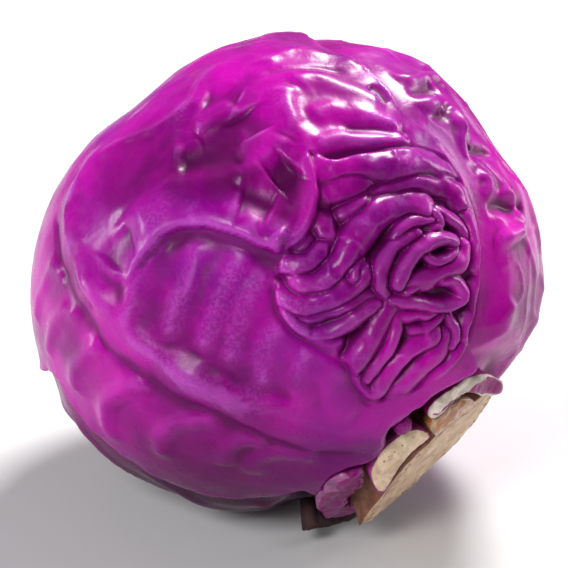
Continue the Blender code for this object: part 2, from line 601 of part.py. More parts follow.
class Stem:
    """The stem's stump, fanning out from its root in the heart to its cut."""

    name, over = "stem", []
    facing = behind(CUT_ROUND, CUT_FROM_SIGHT)

    def __init__(self):
        ring = []
        for turn in range(0, 360, 15):
            near, across = math.cos(math.radians(turn)), math.sin(math.radians(turn))
            away = 1 / math.hypot(near / STEM_FAN_NEAR, across / STEM_FAN_ACROSS)
            low_side = smoothstep(1 - abs(turn - STEM_SPUR_AT) / STEM_SPUR_REACH)
            ring.append(by_stem(turn, away + STEM_SPUR * low_side))
        self.margin = Outline(STEM_AXIS, ring, 3.0)

    def outer(self, n):
        plane = CUT_RADIUS * STEM_AXIS @ self.facing
        depth_in = self.margin.depth_in(n)
        worn = 0.7 * MM * (1 - smoothstep(depth_in / (1.6 * MM)))
        hollow = 0.8 * MM * smoothstep((depth_in - 6 * MM) / (9 * MM))
        return envelope(n) - plane / (n @ self.facing) + worn + hollow

    def inner(self, n):
        return envelope(n) - STEM_ROOT


STEM = Stem()


def heart_depth(n):
    """The heart's surface: under every leaf, and hollowed where the stem's root sits."""
    depth = passing_under([FRONT_LEAF, UNDER_LEAF, RIGHT_LEAF, BACK_LEAF] + BLOCKS, n, HEART_GAP)
    depth = np.maximum(depth, 3 * MM)
    from_stem = np.degrees(np.arccos(np.clip(n @ STEM_AXIS, -1, 1)))
    pit = (envelope(n) - PIT_FLOOR) * (1 - smoothstep((from_stem - PIT_RIM) / 13))
    return np.maximum(depth, pit)


def lattice(polygon, size_at, sizes):
    """Points in the polygon, spaced as size_at says: hexagonal grids of the sizes, the finest first."""
    low, high = polygon.min(0), polygon.max(0)
    chosen = [polygon]
    for k, size in enumerate(sizes):
        rows = np.arange(low[1], high[1], size * math.sqrt(0.75))
        x, y = np.meshgrid(np.arange(low[0], high[0], size), rows)
        x = x + 0.5 * size * (np.arange(len(rows)) % 2)[:, None]
        grid = np.column_stack([x.ravel(), y.ravel()])
        grid = grid[inside(polygon, grid)]
        wanted = size_at(grid)
        ok = np.ones(len(grid), bool)
        if k:
            ok &= wanted >= size
        if k + 1 < len(sizes):
            ok &= wanted < sizes[k + 1]
        grid = grid[ok]
        known = np.concatenate(chosen)
        tree = kdtree.KDTree(len(known))
        for i, q in enumerate(known):
            tree.insert((q[0], q[1], 0), i)
        tree.balance()
        clear = [tree.find((q[0], q[1], 0))[2] > 0.62 * size for q in grid]
        chosen.append(grid[np.array(clear, bool)])
    return np.concatenate(chosen[1:])


def triangulate(border, points):
    """Triangles over the border polygon and the points in it, as rows of three numbers."""
    flat = [Vector(q) for q in np.concatenate([border, points]) * 1000]
    count = len(border)
    edges = [(i, (i + 1) % count) for i in range(count)]
    found = geometry.delaunay_2d_cdt(flat, edges, [], 1, 1e-6)
    whose = [number[0] for number in found[3]]
    rows = [[whose[i] for i in face] for face in found[2]]
    return [row for row in rows if len(set(row)) == 3]


def material(name, colour, roughness):
    found = bpy.data.materials.new(name)
    found.use_nodes = True
    shader = found.node_tree.nodes["Principled BSDF"]
    shader.inputs["Base Color"].default_value = (*colour, 1)
    shader.inputs["Roughness"].default_value = roughness
    return found


def add_object(name, points, faces, colour, roughness=0.4):
    mesh = bpy.data.meshes.new(name)
    mesh.from_pydata([tuple(p) for p in points], [], faces)
    mesh.update()
    mesh.shade_smooth()
    mesh.set_sharp_from_angle(angle=math.radians(50))
    mesh.materials.append(material(name, colour, roughness))
    made = bpy.data.objects.new(name, mesh)
    bpy.context.collection.objects.link(made)
    return made


def add_piece(piece, outer_size, inner_size, sizes, colour, roughness=0.4):
    """A closed solid between a piece's outer and inner faces, joined along its margin."""
    chart, border = piece.margin.chart, piece.margin.polygon
    count = len(border)
    more = lattice(border, outer_size, sizes)
    n = np.concatenate([piece.margin.line, chart.round(more)])
    points = list(at(n, piece.outer(n)))
    faces = triangulate(border, more)
    below = len(points)
    more = lattice(border, inner_size, sizes)
    n = np.concatenate([piece.margin.line, chart.round(more)])
    points.extend(at(n, piece.inner(n)))
    faces.extend([below + c, below + b, below + a] for a, b, c in triangulate(border, more))
    for i in range(count):
        j = (i + 1) % count
        faces.append([i, below + i, below + j])
        faces.append([i, below + j, j])
    return add_object(piece.name, points, faces, colour, roughness)


def graded(piece, fine_mm, coarse_mm, detail=None):
    """Spacing that grows from the margin inwards, and is no wider than detail says."""

    def size(q):
        n = piece.margin.chart.round(q)
        found = fine_mm * MM + 0.3 * np.abs(piece.margin.depth_in(n))
        found = np.minimum(found, coarse_mm * MM)
        return np.minimum(found, detail(n)) if detail else found

    return size


def front_detail(n):
    """The front leaf's outer spacing: close in the crumple, wide beyond the edge of the view."""
    crumple = CRUMPLE.depth_in(n)
    found = np.where(crumple > -1.0 * MM, 1.8 * MM, 4.4 * MM)
    upper = (n @ UP > 0.02) & (n @ RIGHT > -0.72) & (crumple <= -1.5 * MM)
    found = np.where(upper, 3.1 * MM, found)
    return np.where(n @ BACK < 0.3, 6.4 * MM, found)


def right_detail(n):
    return np.where((n @ BACK > 0.02) & (FRONT_MARGIN.depth_in(n) < 0), 3.6 * MM, 9 * MM)


def even(size_mm):
    return lambda q: np.full(len(q), size_mm * MM)


def add_heart():
    """The tight heart: a closed round body of evenly spread points."""
    count = 900
    k = np.arange(count) + 0.5
    z = 1 - 2 * k / count
    turn = k * math.pi * (1 + math.sqrt(5))
    across = np.sqrt(1 - z * z)
    n = np.column_stack([across * np.cos(turn), across * np.sin(turn), z])
    work = bmesh.new()
    for p in n:
        work.verts.new(p)
    bmesh.ops.convex_hull(work, input=work.verts)
    bmesh.ops.recalc_face_normals(work, faces=work.faces)
    work.verts.index_update()
    n = np.array([v.co[:] for v in work.verts])
    faces = [[v.index for v in face.verts] for face in work.faces]
    work.free()
    return add_object("inner_head", at(n, heart_depth(n)), faces, (0.36, 0.03, 0.24))


def main():
    for old in list(bpy.data.objects):
        bpy.data.objects.remove(old, do_unlink=True)
    purple = (0.30, 0.02, 0.22)
    leaf_sizes = [size * MM for size in (1.8, 3.1, 3.6, 4.4, 6.2, 7.4)]
    block_sizes = [2.5 * MM, 4.0 * MM]
    outer_sizes = {
        "front_leaf": graded(FRONT_LEAF, 4.4, 6.4, front_detail),
        "right_leaf": graded(RIGHT_LEAF, 4.4, 8.8, right_detail),
    }
    for leaf in (FRONT_LEAF, RIGHT_LEAF, UNDER_LEAF, BACK_LEAF):
        inner_size = graded(leaf, 4.4, 8.8)
        add_piece(leaf, outer_sizes.get(leaf.name, inner_size), inner_size, leaf_sizes, purple)
    add_heart()
    add_piece(STEM, even(4), even(6), [4 * MM, 6 * MM], (0.42, 0.27, 0.17), 0.7)
    colours = {
        "cut_leaf_base": (0.70, 0.48, 0.32),
        "cut_leaf_base_brown": (0.42, 0.16, 0.06),
        "torn_leaf_base": (0.60, 0.35, 0.38),
        "leaf_stub": (0.31, 0.07, 0.11),
        "bud": (0.36, 0.04, 0.20),
        "dry_leaf_scrap": (0.10, 0.035, 0.03),
    }
    for block in BLOCKS:
        add_piece(block, even(2.5), even(4), block_sizes, colours[block.name], 0.6)


main()
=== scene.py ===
"""The looks of the red cabbage head: finer leaves, materials, light and camera."""

import math

import bmesh
import bpy
import numpy as np
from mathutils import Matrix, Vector, geometry, kdtree


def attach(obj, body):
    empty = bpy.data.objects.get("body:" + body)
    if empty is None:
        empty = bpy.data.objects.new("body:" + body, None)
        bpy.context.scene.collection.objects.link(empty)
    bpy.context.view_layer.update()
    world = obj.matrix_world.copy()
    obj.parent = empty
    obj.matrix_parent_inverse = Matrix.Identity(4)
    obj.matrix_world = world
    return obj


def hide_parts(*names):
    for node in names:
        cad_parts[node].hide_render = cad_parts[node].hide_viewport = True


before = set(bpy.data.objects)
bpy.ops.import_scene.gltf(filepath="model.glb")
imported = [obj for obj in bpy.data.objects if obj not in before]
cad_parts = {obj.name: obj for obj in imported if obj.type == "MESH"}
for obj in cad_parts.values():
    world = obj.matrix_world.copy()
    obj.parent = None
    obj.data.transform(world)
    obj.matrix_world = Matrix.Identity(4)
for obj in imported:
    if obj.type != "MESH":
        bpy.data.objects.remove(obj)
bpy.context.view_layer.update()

MM = 0.001

# The view that the near side is drawn in: its height above the table, its distance, and its scale.
VIEW_ELEVATION = math.radians(25)
VIEW_DISTANCE = 0.75
SHEET_PX = 568
SHEET_MIDDLE_PX = (284, 284)
HEAD_MIDDLE_PX = (284, 268)
HEAD_WIDTH_PX = 508

# Driving sizes of the head.
HEAD_WIDTH = 0.150
FRONT_RADIUS = 74.5 * MM
# The head's radius round its outline as seen, every 15 degrees, anticlockwise from the right.
LIMB_RADII_MM = (
    74.8, 74.0, 71.4, 72.0, 71.6, 69.0, 69.1, 67.6, 65.3, 65.0, 68.5, 71.6,
    74.2, 76.0, 76.5, 75.6, 73.8, 72.4, 70.3, 68.3, 66.5, 66.8, 70.4, 74.0,
)
REST_PRESS = 1.9 * MM
REST_CLEAR = 24 * MM

# The leaves: how thick they are at the margin and in the body, and how they lie over each other.
EDGE_THICKNESS = 1.0 * MM
LEAST_THICKNESS = 0.8 * MM
GAP = 0.65 * MM
HEART_GAP = 1.1 * MM
HEART_DEPTH = 3 * MM
OVERLAP_RAMP = 11 * MM
FULL_COVER = 3 * MM
EDGE_TO_BODY = 15 * MM
# How far in from the margin the relief fades in.
EDGE_FADE = 2.4 * MM

# The stem: the two angles of its axis, its cut, and how it and the leaf bases round it fan out.
STEM_ROUND, STEM_FROM_SIGHT = -50, 75
CUT_ROUND, CUT_FROM_SIGHT = -45, 77
CUT_RADIUS = 71.0 * MM
STEM_ROOT = 50 * MM
STEM_FAN_NEAR, STEM_FAN_ACROSS = 15.3, 18.5
STEM_SPUR, STEM_SPUR_AT, STEM_SPUR_REACH = 4.6, 98, 44
COLLAR = 3.6 * MM
COLLAR_FROM, COLLAR_WIDTH = 22, 24
NEAR_SIDE_RAMP = 0.36
PIT_FLOOR = 48.6 * MM
PIT_RIM, PIT_WIDTH = 24.8, 13
BLOCK_DEPTH = 3.2 * MM

# Directions and points are looked up in batches of this many, to save memory.
BATCH = 2000

PX_PER_M = HEAD_WIDTH_PX / HEAD_WIDTH
MEAN_RADIUS = 0.072
RIGHT = np.array([1.0, 0.0, 0.0])
UP = np.array([0.0, math.sin(VIEW_ELEVATION), math.cos(VIEW_ELEVATION)])
BACK = np.array([0.0, -math.cos(VIEW_ELEVATION), math.sin(VIEW_ELEVATION)])
EYE_DROP = (SHEET_MIDDLE_PX[1] - HEAD_MIDDLE_PX[1]) / PX_PER_M
EYE = VIEW_DISTANCE * BACK - EYE_DROP * UP


def unit(v):
    return v / np.linalg.norm(v)


def units(rows):
    return rows / np.linalg.norm(rows, axis=1)[:, None]


def distance_over(n, place):
    """How far over the head, in metres, each direction n is from the one at the place."""
    return np.linalg.norm(n - place, axis=1) * MEAN_RADIUS


def behind(round_deg, from_sight_deg):
    """The direction turned round the line of sight from the right, and tilted away from it."""
    turn, away = math.radians(round_deg), math.radians(from_sight_deg)
    flat = math.cos(turn) * RIGHT + math.sin(turn) * UP
    return math.cos(away) * BACK + math.sin(away) * flat


STEM_AXIS = behind(STEM_ROUND, STEM_FROM_SIGHT)
STEM_NEAR = unit(BACK - (BACK @ STEM_AXIS) * STEM_AXIS)
STEM_LEFT = np.cross(STEM_AXIS, STEM_NEAR)


def by_stem(round_deg, from_axis_deg):
    """The direction this far from the stem's axis, turned this far from the near side."""
    turn, away = math.radians(round_deg), math.radians(from_axis_deg)
    side = math.cos(turn) * STEM_NEAR + math.sin(turn) * STEM_LEFT
    return math.cos(away) * STEM_AXIS + math.sin(away) * side


def degrees_off_stem(n):
    return np.degrees(np.arccos(np.clip(n @ STEM_AXIS, -1, 1)))


def smoothstep(x):
    x = np.clip(x, 0.0, 1.0)
    return x * x * (3 - 2 * x)


def between(a, b, c, d, t):
    """The Catmull-Rom value at the share t from b to c."""
    return b + 0.5 * t * (c - a + t * (2 * a - 5 * b + 4 * c - d + t * (3 * (b - c) + d - a)))


def envelope(n):
    """The head's outer radius in each direction n, raised on the near side of the stem."""
    across = np.clip(1 - (n @ BACK) ** 2, 0, 1)
    turn = np.degrees(np.arctan2(n @ UP, n @ RIGHT)) % 360
    radii = np.array(LIMB_RADII_MM) * MM
    step = 360 / len(radii)
    k = (turn // step).astype(int)
    t = turn / step - k
    limb = between(*(radii[(k + i) % len(radii)] for i in (-1, 0, 1, 2)), t)
    near_side = smoothstep(n @ STEM_NEAR / NEAR_SIDE_RAMP)
    collar = 1 - smoothstep((degrees_off_stem(n) - COLLAR_FROM) / COLLAR_WIDTH)
    collar = COLLAR * collar * near_side
    return FRONT_RADIUS + (limb - FRONT_RADIUS) * across + collar


def seen(px, py):
    """The direction from the head's middle to the point seen at this pixel of the sheet."""
    focal = PX_PER_M * VIEW_DISTANCE
    x, y = (px - SHEET_MIDDLE_PX[0]) / focal, (SHEET_MIDDLE_PX[1] - py) / focal
    ray = unit(x * RIGHT + y * UP - BACK)
    nearest = -EYE @ ray
    miss = np.linalg.norm(EYE + nearest * ray)
    n = BACK
    for _ in range(5):
        radius = envelope(n[None])[0]
        n = unit(EYE + (nearest - math.sqrt(max(0.0, radius**2 - miss**2))) * ray)
    return n


def directions(points):
    """Directions from a list of pixel pairs and of directions."""
    return np.array([seen(*p) if len(p) == 2 else p for p in points])


def smooth_line(points, step, closed=False):
    """A curve through the points, over the unit sphere, cut about every step radians."""
    p = np.asarray(points)
    if closed:
        p = np.concatenate([p[-1:], p, p[:2]])
    else:
        p = np.concatenate([2 * p[:1] - p[1:2], p, 2 * p[-1:] - p[-2:-1]])
    found = []
    for a, b, c, d in zip(p[:-3], p[1:-2], p[2:-1], p[3:]):
        pieces = max(1, int(round(np.linalg.norm(c - b) / step)))
        for t in np.arange(pieces) / pieces:
            found.append(between(a, b, c, d, t))
    if not closed:
        found.append(p[-2])
    return units(np.array(found))


def distance_to(curve, n):
    """Each direction's distance over the head from the curve, its share along it, and its side."""
    a, ab = curve[:-1], curve[1:] - curve[:-1]
    length = np.linalg.norm(ab, axis=1)
    start = np.concatenate([[0], np.cumsum(length)[:-1]])
    distance, along, side = np.empty(len(n)), np.empty(len(n)), np.empty(len(n))
    for first in range(0, len(n), BATCH):
        part = slice(first, first + BATCH)
        ap = n[part, None, :] - a[None]
        t = np.clip((ap * ab).sum(-1) / length**2, 0, 1)
        off = ap - t[..., None] * ab
        k = (off**2).sum(-1).argmin(1)
        rows = np.arange(len(k))
        t, off = t[rows, k], off[rows, k]
        distance[part] = np.linalg.norm(off, axis=1) * MEAN_RADIUS
        along[part] = (start[k] + t * length[k]) / length.sum()
        side[part] = np.sign((np.cross(ab[k], off) * n[part]).sum(1))
    return distance, along, side


class Chart:
    """A flat map of the head about one direction: lengths from that direction are true."""

    def __init__(self, middle):
        self.w = unit(middle)
        helper = UP if abs(self.w @ UP) < 0.9 else RIGHT
        self.u = unit(np.cross(helper, self.w))
        self.v = np.cross(self.w, self.u)

    def flat(self, n):
        angle = np.arccos(np.clip(n @ self.w, -1, 1))
        x, y = n @ self.u, n @ self.v
        scale = angle * MEAN_RADIUS / np.maximum(np.hypot(x, y), 1e-12)
        return np.stack([x * scale, y * scale], axis=1)

    def round(self, q):
        length = np.hypot(q[:, 0], q[:, 1])
        angle = (length / MEAN_RADIUS)[:, None]
        away = q / np.maximum(length, 1e-12)[:, None]
        flat = away[:, :1] * self.u + away[:, 1:] * self.v
        return np.cos(angle) * self.w + np.sin(angle) * flat


def inside(polygon, q):
    """Which of the flat points q lie in the closed polygon."""
    a, b = polygon, np.roll(polygon, -1, axis=0)
    rise = np.where(b[:, 1] == a[:, 1], 1e-12, b[:, 1] - a[:, 1])
    found = np.empty(len(q), bool)
    for first in range(0, len(q), BATCH):
        part = slice(first, first + BATCH)
        x, y = q[part, :1], q[part, 1:]
        crosses = (a[:, 1] > y) != (b[:, 1] > y)
        left = x < a[:, 0] + (y - a[:, 1]) * (b[:, 0] - a[:, 0]) / rise
        found[part] = (crosses & left).sum(1) % 2 == 1
    return found


def clockwise(polygon):
    x, y = polygon[:, 0], polygon[:, 1]
    return x @ np.roll(y, -1) < y @ np.roll(x, -1)


class Outline:
    """A closed line over the head. depth_in is the distance in from it, negative outside."""

    def __init__(self, middle, points, step_mm=2.4):
        self.chart = Chart(middle)
        self.points = directions(points)
        line = smooth_line(self.points, step_mm * MM / MEAN_RADIUS, closed=True)
        polygon = self.chart.flat(line)
        if clockwise(polygon):
            line, polygon = line[::-1], polygon[::-1]
        self.line, self.polygon = line, polygon
        self.loop = np.concatenate([line, line[:1]])

    def depth_in(self, n):
        distance = distance_to(self.loop, n)[0]
        return np.where(inside(self.polygon, self.chart.flat(n)), distance, -distance)


# Margins. A pair is a pixel of the near side.
FRONT_MARGIN = Outline(seen(270, 260), [
    (371, 75), (388, 92), (397, 107), (411, 119), (426, 132), (440, 142), (454, 162), (465, 188),
    (474, 214), (479, 240), (480, 270), (476, 305), (468, 335), by_stem(-38, 29.5),
    by_stem(-30, 28.3), by_stem(-20, 28.5), by_stem(-6, 28.9), by_stem(5, 29.2), by_stem(13, 28.2),
    by_stem(18, 25.8), by_stem(24, 25.0), by_stem(30, 26.0), by_stem(35, 28.2), by_stem(41, 31.2),
    by_stem(52, 32.2), by_stem(63, 31.7), (300, 490), (262, 497), (222, 496), (180, 486),
    (142, 467), (112, 447), (88, 424), (68, 396), (52, 372), behind(200, 97), behind(186, 108),
    behind(168, 116), behind(148, 119), behind(128, 115), behind(108, 106), behind(92, 97),
    (311, 39), (330, 50), (350, 60),
])
RIGHT_MARGIN = Outline(behind(18, 80), [
    (300, 60), (345, 110), (390, 170), (425, 235), (440, 300), (446, 340), by_stem(-40, 25),
    by_stem(-56, 20.5), by_stem(-90, 19.7), by_stem(-128, 19.6), behind(-30, 108),
    behind(-20, 126), behind(0, 140), behind(28, 143), behind(58, 134), behind(80, 117),
    behind(92, 100),
])
UNDER_MARGIN = Outline(behind(238, 112), [
    by_stem(56, 25), (318, 452), (270, 452), (215, 440), (160, 420), (112, 388), (80, 350),
    behind(190, 82), behind(184, 104), behind(192, 128), behind(216, 146), behind(252, 152),
    behind(282, 143), behind(292, 126), behind(296, 108), by_stem(128, 22.6), by_stem(95, 24.4),
    by_stem(66, 22.8),
])
BACK_MARGIN = Outline(behind(118, 158), [
    behind(92, 90), behind(120, 98), behind(150, 102), behind(176, 104), behind(196, 116),
    behind(218, 134), behind(262, 141), behind(276, 128), behind(281, 108), by_stem(112, 30),
    by_stem(119, 24.4), by_stem(150, 20.2), by_stem(180, 19.6), by_stem(210, 19.6),
    by_stem(241, 21), by_stem(248, 30), behind(338, 106), behind(346, 118), behind(8, 124),
    behind(36, 122), behind(64, 110),
])


# How much wider than its traced line a crumpled roll spreads, so that neighbours meet in a crease.
ROLL_SPREAD = 1.6
ROLL_ROUNDNESS = 0.75
# The share of a lip's width over which its front rises, and of its length where its ends fade.
LIP_FRONT = 0.38
LIP_ENDS = (0.3, 0.05)
# The share of a ridge's length over which each end fades.
RIDGE_END = 0.15
# How finely a fold's traced line is cut.
FOLD_STEP = 1.3 * MM


class Fold:
    """A raised roll, a soft ridge, a groove (a ridge of negative height) or a lip along a line."""

    def __init__(self, kind, width_mm, height_mm, points):
        spread = ROLL_SPREAD if kind == "roll" else 1
        self.kind, self.width, self.height = kind, width_mm * MM * spread, height_mm * MM
        self.line = smooth_line(directions(points), FOLD_STEP / MEAN_RADIUS)
        self.middle = self.line.mean(0)
        self.reach = np.linalg.norm(self.line - self.middle, axis=1).max()
        self.reach += 3 * self.width / MEAN_RADIUS

    def rise(self, n):
        found = np.zeros(len(n))
        near = np.linalg.norm(n - self.middle, axis=1) < self.reach
        if not near.any():
            return found
        distance, along, side = distance_to(self.line, n[near])
        share = distance / self.width
        if self.kind == "roll":
            rise = np.clip(1 - share**2, 0, 1) ** ROLL_ROUNDNESS
            rise = rise * (0.8 + 0.2 * np.sin(math.pi * along))
        elif self.kind == "lip":
            front = smoothstep(share / LIP_FRONT)
            fade = 1 - smoothstep((share - LIP_FRONT) / 2.0)
            rise = np.where(side > 0, front * fade, 0)
            rise = rise * smoothstep(along / LIP_ENDS[0]) * smoothstep((1 - along) / LIP_ENDS[1])
        else:
            ends = smoothstep(along / RIDGE_END) * smoothstep((1 - along) / RIDGE_END)
            rise = np.exp(-(share**2)) * ends
        found[near] = self.height * rise
        return found


def folds(kind, *rows):
    """Folds from rows of width and height in mm, and the points of the line."""
    return [Fold(kind, row[0], row[1], row[2:]) for row in rows]


# The front leaf's midrib, thick at the stem, and the creases beside it.
MIDRIB = folds(
    "ridge",
    (6.5, 2.2, by_stem(10, 20), (378, 432), (346, 432), (312, 424), (268, 410), (228, 394),
     (192, 376), (160, 352)),
    (4.4, 1.9, (262, 412), (210, 388), (172, 365), (138, 338), (112, 310), (92, 282), (80, 254)),
    (3.4, 1.5, (120, 322), (100, 294), (82, 264), (71, 236), (70, 208), (80, 180), (96, 156),
     (112, 146)),
    (1.6, -0.8, (366, 454), (330, 453), (298, 447), (249, 429), (210, 413), (182, 400), (145, 379),
     (114, 350)),
    (1.3, -0.6, (150, 382), (122, 360), (96, 331), (77, 300), (63, 268), (57, 240), (58, 208)),
    (3.2, -0.3, (176, 350), (196, 364), (220, 375), (249, 387), (277, 393), (304, 405)),
)
# Side veins: those of the smooth part run up from the midrib, the others arch away below it.
SIDE_VEINS = folds(
    "ridge",
    (2.4, 0.8, (131, 330), (131, 300), (137, 274), (152, 252), (174, 236)),
    (3.2, 1.0, (164, 344), (175, 312), (184, 285), (194, 256), (208, 234)),
    (3.2, 0.9, (198, 358), (209, 328), (218, 304), (232, 274), (250, 250)),
    (3.2, 0.8, (228, 374), (233, 342), (240, 313), (252, 288), (274, 264)),
    (3.0, 0.7, (262, 390), (262, 362), (270, 337), (284, 320)),
    (2.6, 0.6, (306, 406), (298, 382), (302, 362), (314, 346)),
    (3.2, 0.7, (352, 416), (334, 398), (334, 380), (346, 364)),
    (3.0, 1.5, (156, 384), (138, 383), (122, 386), (110, 396), (105, 412), (110, 430), (124, 448)),
    (3.0, 1.5, (226, 421), (202, 420), (182, 422), (166, 431), (160, 444), (168, 462)),
    (2.8, 1.3, (274, 444), (252, 440), (236, 443), (226, 452), (226, 468)),
    (2.8, 1.2, (322, 456), (298, 451), (276, 451), (258, 460), (252, 476)),
    (2.8, 1.3, (108, 352), (94, 348), (84, 356), (76, 372), (74, 392)),
    (2.5, 1.1, (84, 318), (70, 312), (58, 318), (51, 336), (50, 360)),
    (2.5, 1.0, (67, 276), (54, 270), (44, 282), (38, 306), (38, 328)),
)
# Long folds and hollows of the upper part.
UPPER_FOLDS = folds(
    "ridge",
    (2.6, 1.1, (86, 170), (100, 158), (126, 141), (151, 131), (170, 119), (190, 102), (203, 81),
     (222, 60)),
    (3.4, 1.0, (192, 131), (208, 122), (222, 113), (236, 103)),
    (3.2, 0.8, (170, 156), (186, 147), (200, 137)),
    (4.6, 1.3, (104, 232), (128, 214), (150, 198), (166, 188), (184, 182), (206, 182), (230, 180),
     (256, 168)),
    (3.6, 1.3, (232, 182), (252, 170), (272, 154), (288, 136)),
    (7.4, 2.6, (132, 236), (152, 216), (178, 200), (202, 199), (226, 214), (250, 230), (278, 238)),
    (3.6, 2.9, (262, 234), (286, 240), (304, 230), (313, 208), (314, 184), (310, 160), (306, 146)),
    (3.6, 1.9, (310, 160), (304, 140), (292, 127), (283, 106), (285, 84)),
    (3.6, 1.6, (312, 150), (334, 142), (358, 142), (386, 144), (412, 143)),
    (3.6, 1.3, (306, 120), (330, 110), (352, 113), (378, 122), (404, 129)),
    (4.8, 1.4, (288, 86), (312, 80), (338, 88), (364, 99), (388, 106)),
    (3.6, 1.1, (252, 68), (280, 54), (308, 51), (334, 58), (358, 72)),
    (2.4, -0.8, (106, 226), (120, 216), (140, 202), (156, 190), (172, 178), (190, 172)),
    (1.6, -1.2, (316, 158), (332, 161), (358, 155), (390, 149), (418, 151)),
    (2.0, -0.9, (338, 130), (362, 130), (386, 134), (410, 135)),
    (1.6, -0.7, (258, 76), (290, 69), (320, 69), (352, 73)),
    (2.0, -1.1, (366, 86), (378, 92), (390, 103)),
    (7.5, -2.0, (176, 164), (198, 156), (224, 152), (246, 146)),
    (5.2, -1.3, (200, 102), (220, 98), (242, 98)),
    (5.0, -1.6, (240, 112), (246, 122), (254, 136)),
    (4.8, -2.2, (270, 182), (282, 174), (294, 164)),
    (5.0, -1.5, (238, 206), (256, 208), (272, 212)),
    (5.5, -1.1, (112, 268), (120, 250), (136, 236)),
)
# Where the big fold ends in a rounded step above the smooth part.
LIPS = folds(
    "lip",
    (5.5, 2.9, (128, 296), (138, 270), (154, 252), (176, 236), (204, 231), (234, 238), (260, 250),
     (283, 259)),
)
# The crumpled folds beside the stem: rounded rolls with creases where they meet.
CRUMPLE = Outline(seen(375, 275), [
    (310, 156), (316, 182), (317, 206), (304, 240), (284, 256), (275, 288), (279, 312), (296, 333),
    (322, 347), (346, 361), (357, 386), (371, 400), (388, 397), (412, 391), (432, 381), (452, 365),
    (468, 341), (476, 308), (479, 275), (478, 240), (471, 206), (458, 174), (428, 151), (360, 155),
    (330, 161),
])
CRUMPLE_ROLLS = folds(
    "roll",
    (4.4, 4.6, (318, 172), (336, 167), (356, 165), (380, 166), (404, 166), (428, 167), (446, 173)),
    (3.6, 4.0, (320, 190), (336, 188), (352, 184), (370, 178)),
    (2.9, 4.6, (372, 200), (388, 191), (406, 185), (424, 182), (442, 181), (455, 187), (464, 200)),
    (2.2, 3.6, (345, 217), (356, 210), (369, 201)),
    (3.3, 5.6, (303, 283), (315, 284), (329, 277), (341, 262), (351, 245), (362, 228), (376, 214),
     (392, 206), (408, 203), (423, 206)),
    (3.0, 3.8, (317, 222), (325, 232), (331, 245)),
    (2.4, 3.9, (286, 262), (297, 266), (309, 263), (320, 254), (329, 245)),
    (2.0, 3.0, (303, 252), (313, 240), (318, 226)),
    (3.0, 4.6, (282, 299), (297, 304), (316, 302), (336, 294), (352, 285), (364, 273)),
    (1.7, 5.2, (352, 283), (358, 270), (362, 263)),
    (2.3, 3.4, (278, 290), (281, 306), (291, 321), (304, 332), (318, 340), (335, 346)),
    (2.0, 3.4, (298, 318), (314, 318), (331, 312), (347, 306), (362, 300), (374, 297)),
    (2.4, 4.1, (310, 337), (326, 335), (341, 328), (354, 317), (366, 309), (376, 305)),
    (2.7, 5.1, (352, 366), (358, 359), (367, 346), (376, 330), (384, 315), (389, 304)),
    (2.0, 4.5, (366, 378), (378, 362), (390, 342), (396, 328), (395, 316)),
    (2.5, 4.6, (353, 372), (357, 386), (366, 394), (376, 392), (384, 382), (394, 367), (408, 353),
     (424, 343), (434, 337)),
    (2.6, 4.0, (396, 390), (412, 379), (426, 365), (436, 352), (444, 340)),
    (2.0, 5.0, (387, 295), (382, 281), (383, 265), (391, 250), (402, 240), (413, 234)),
    (2.0, 5.6, (398, 282), (404, 267), (413, 252), (426, 243), (440, 238), (452, 243)),
    (2.5, 5.2, (402, 285), (417, 282), (433, 277), (448, 270), (460, 261), (464, 249)),
    (1.3, 4.3, (424, 256), (434, 262), (446, 259), (454, 250)),
    (1.8, 4.8, (406, 291), (418, 284), (434, 280), (450, 280), (460, 288), (461, 298), (450, 307),
     (434, 309), (418, 305), (402, 301), (390, 300)),
    (1.8, 3.6, (392, 311), (405, 318), (421, 317), (437, 313), (447, 307)),
    (1.4, 3.4, (411, 334), (424, 333), (436, 326), (444, 317)),
    (1.5, 3.4, (450, 318), (455, 332), (450, 345)),
    (1.8, 3.8, (436, 211), (450, 216), (461, 225), (468, 238)),
    (1.8, 4.8, (394, 240), (399, 229), (410, 222), (425, 218), (437, 221)),
    (1.7, 4.4, (424, 207), (434, 212), (438, 221), (431, 230)),
    (2.2, 3.6, (418, 391), (438, 377), (455, 360), (467, 339), (472, 318)),
    (1.6, 3.0, (464, 348), (471, 328), (475, 306), (476, 286)),
    (1.7, 3.2, (466, 206), (472, 226), (475, 248), (475, 266)),
)
LEVEL_OF_CRUMPLE = -2.4 * MM
LEVEL_OF_SMOOTH = -1.1 * MM
SMOOTH_RADIUS = 27 * MM
SMOOTH_MIDDLE = seen(226, 318)

# Dimples and ridges of the right leaf.
RIGHT_FOLDS = folds(
    "ridge",
    (2.2, 1.5, (372, 72), (392, 75), (412, 80), (428, 79), (444, 84)),
    (2.2, -1.4, (404, 89), (420, 92), (436, 88)),
    (3.4, 1.8, (400, 100), (420, 104), (438, 102)),
    (2.0, -2.2, (410, 115), (424, 125), (437, 118), (452, 107)),
    (2.4, 2.6, (446, 104), (457, 120), (461, 140), (466, 160)),
    (1.8, -1.8, (467, 120), (467, 136), (474, 148), (490, 150)),
    (2.2, -2.2, (446, 150), (460, 166), (482, 172)),
    (2.0, 2.2, (468, 174), (484, 176), (488, 190), (480, 204)),
    (2.6, -2.3, (470, 213), (490, 208), (510, 206), (524, 214)),
    (2.2, 2.4, (484, 276), (493, 252), (503, 239), (520, 230)),
    (1.8, -2.0, (486, 292), (489, 280), (497, 264)),
    (2.6, 1.4, (496, 186), (508, 200), (517, 220), (521, 244)),
    (3.2, 1.0, (512, 300), (500, 330), (486, 362)),
)


# Side veins: where on the midrib the first leaves it, the share over which the others follow, and
# how far those of the second side lag.
VEIN_START, VEIN_SPAN, VEIN_LAG = 0.08, 0.8, 0.25
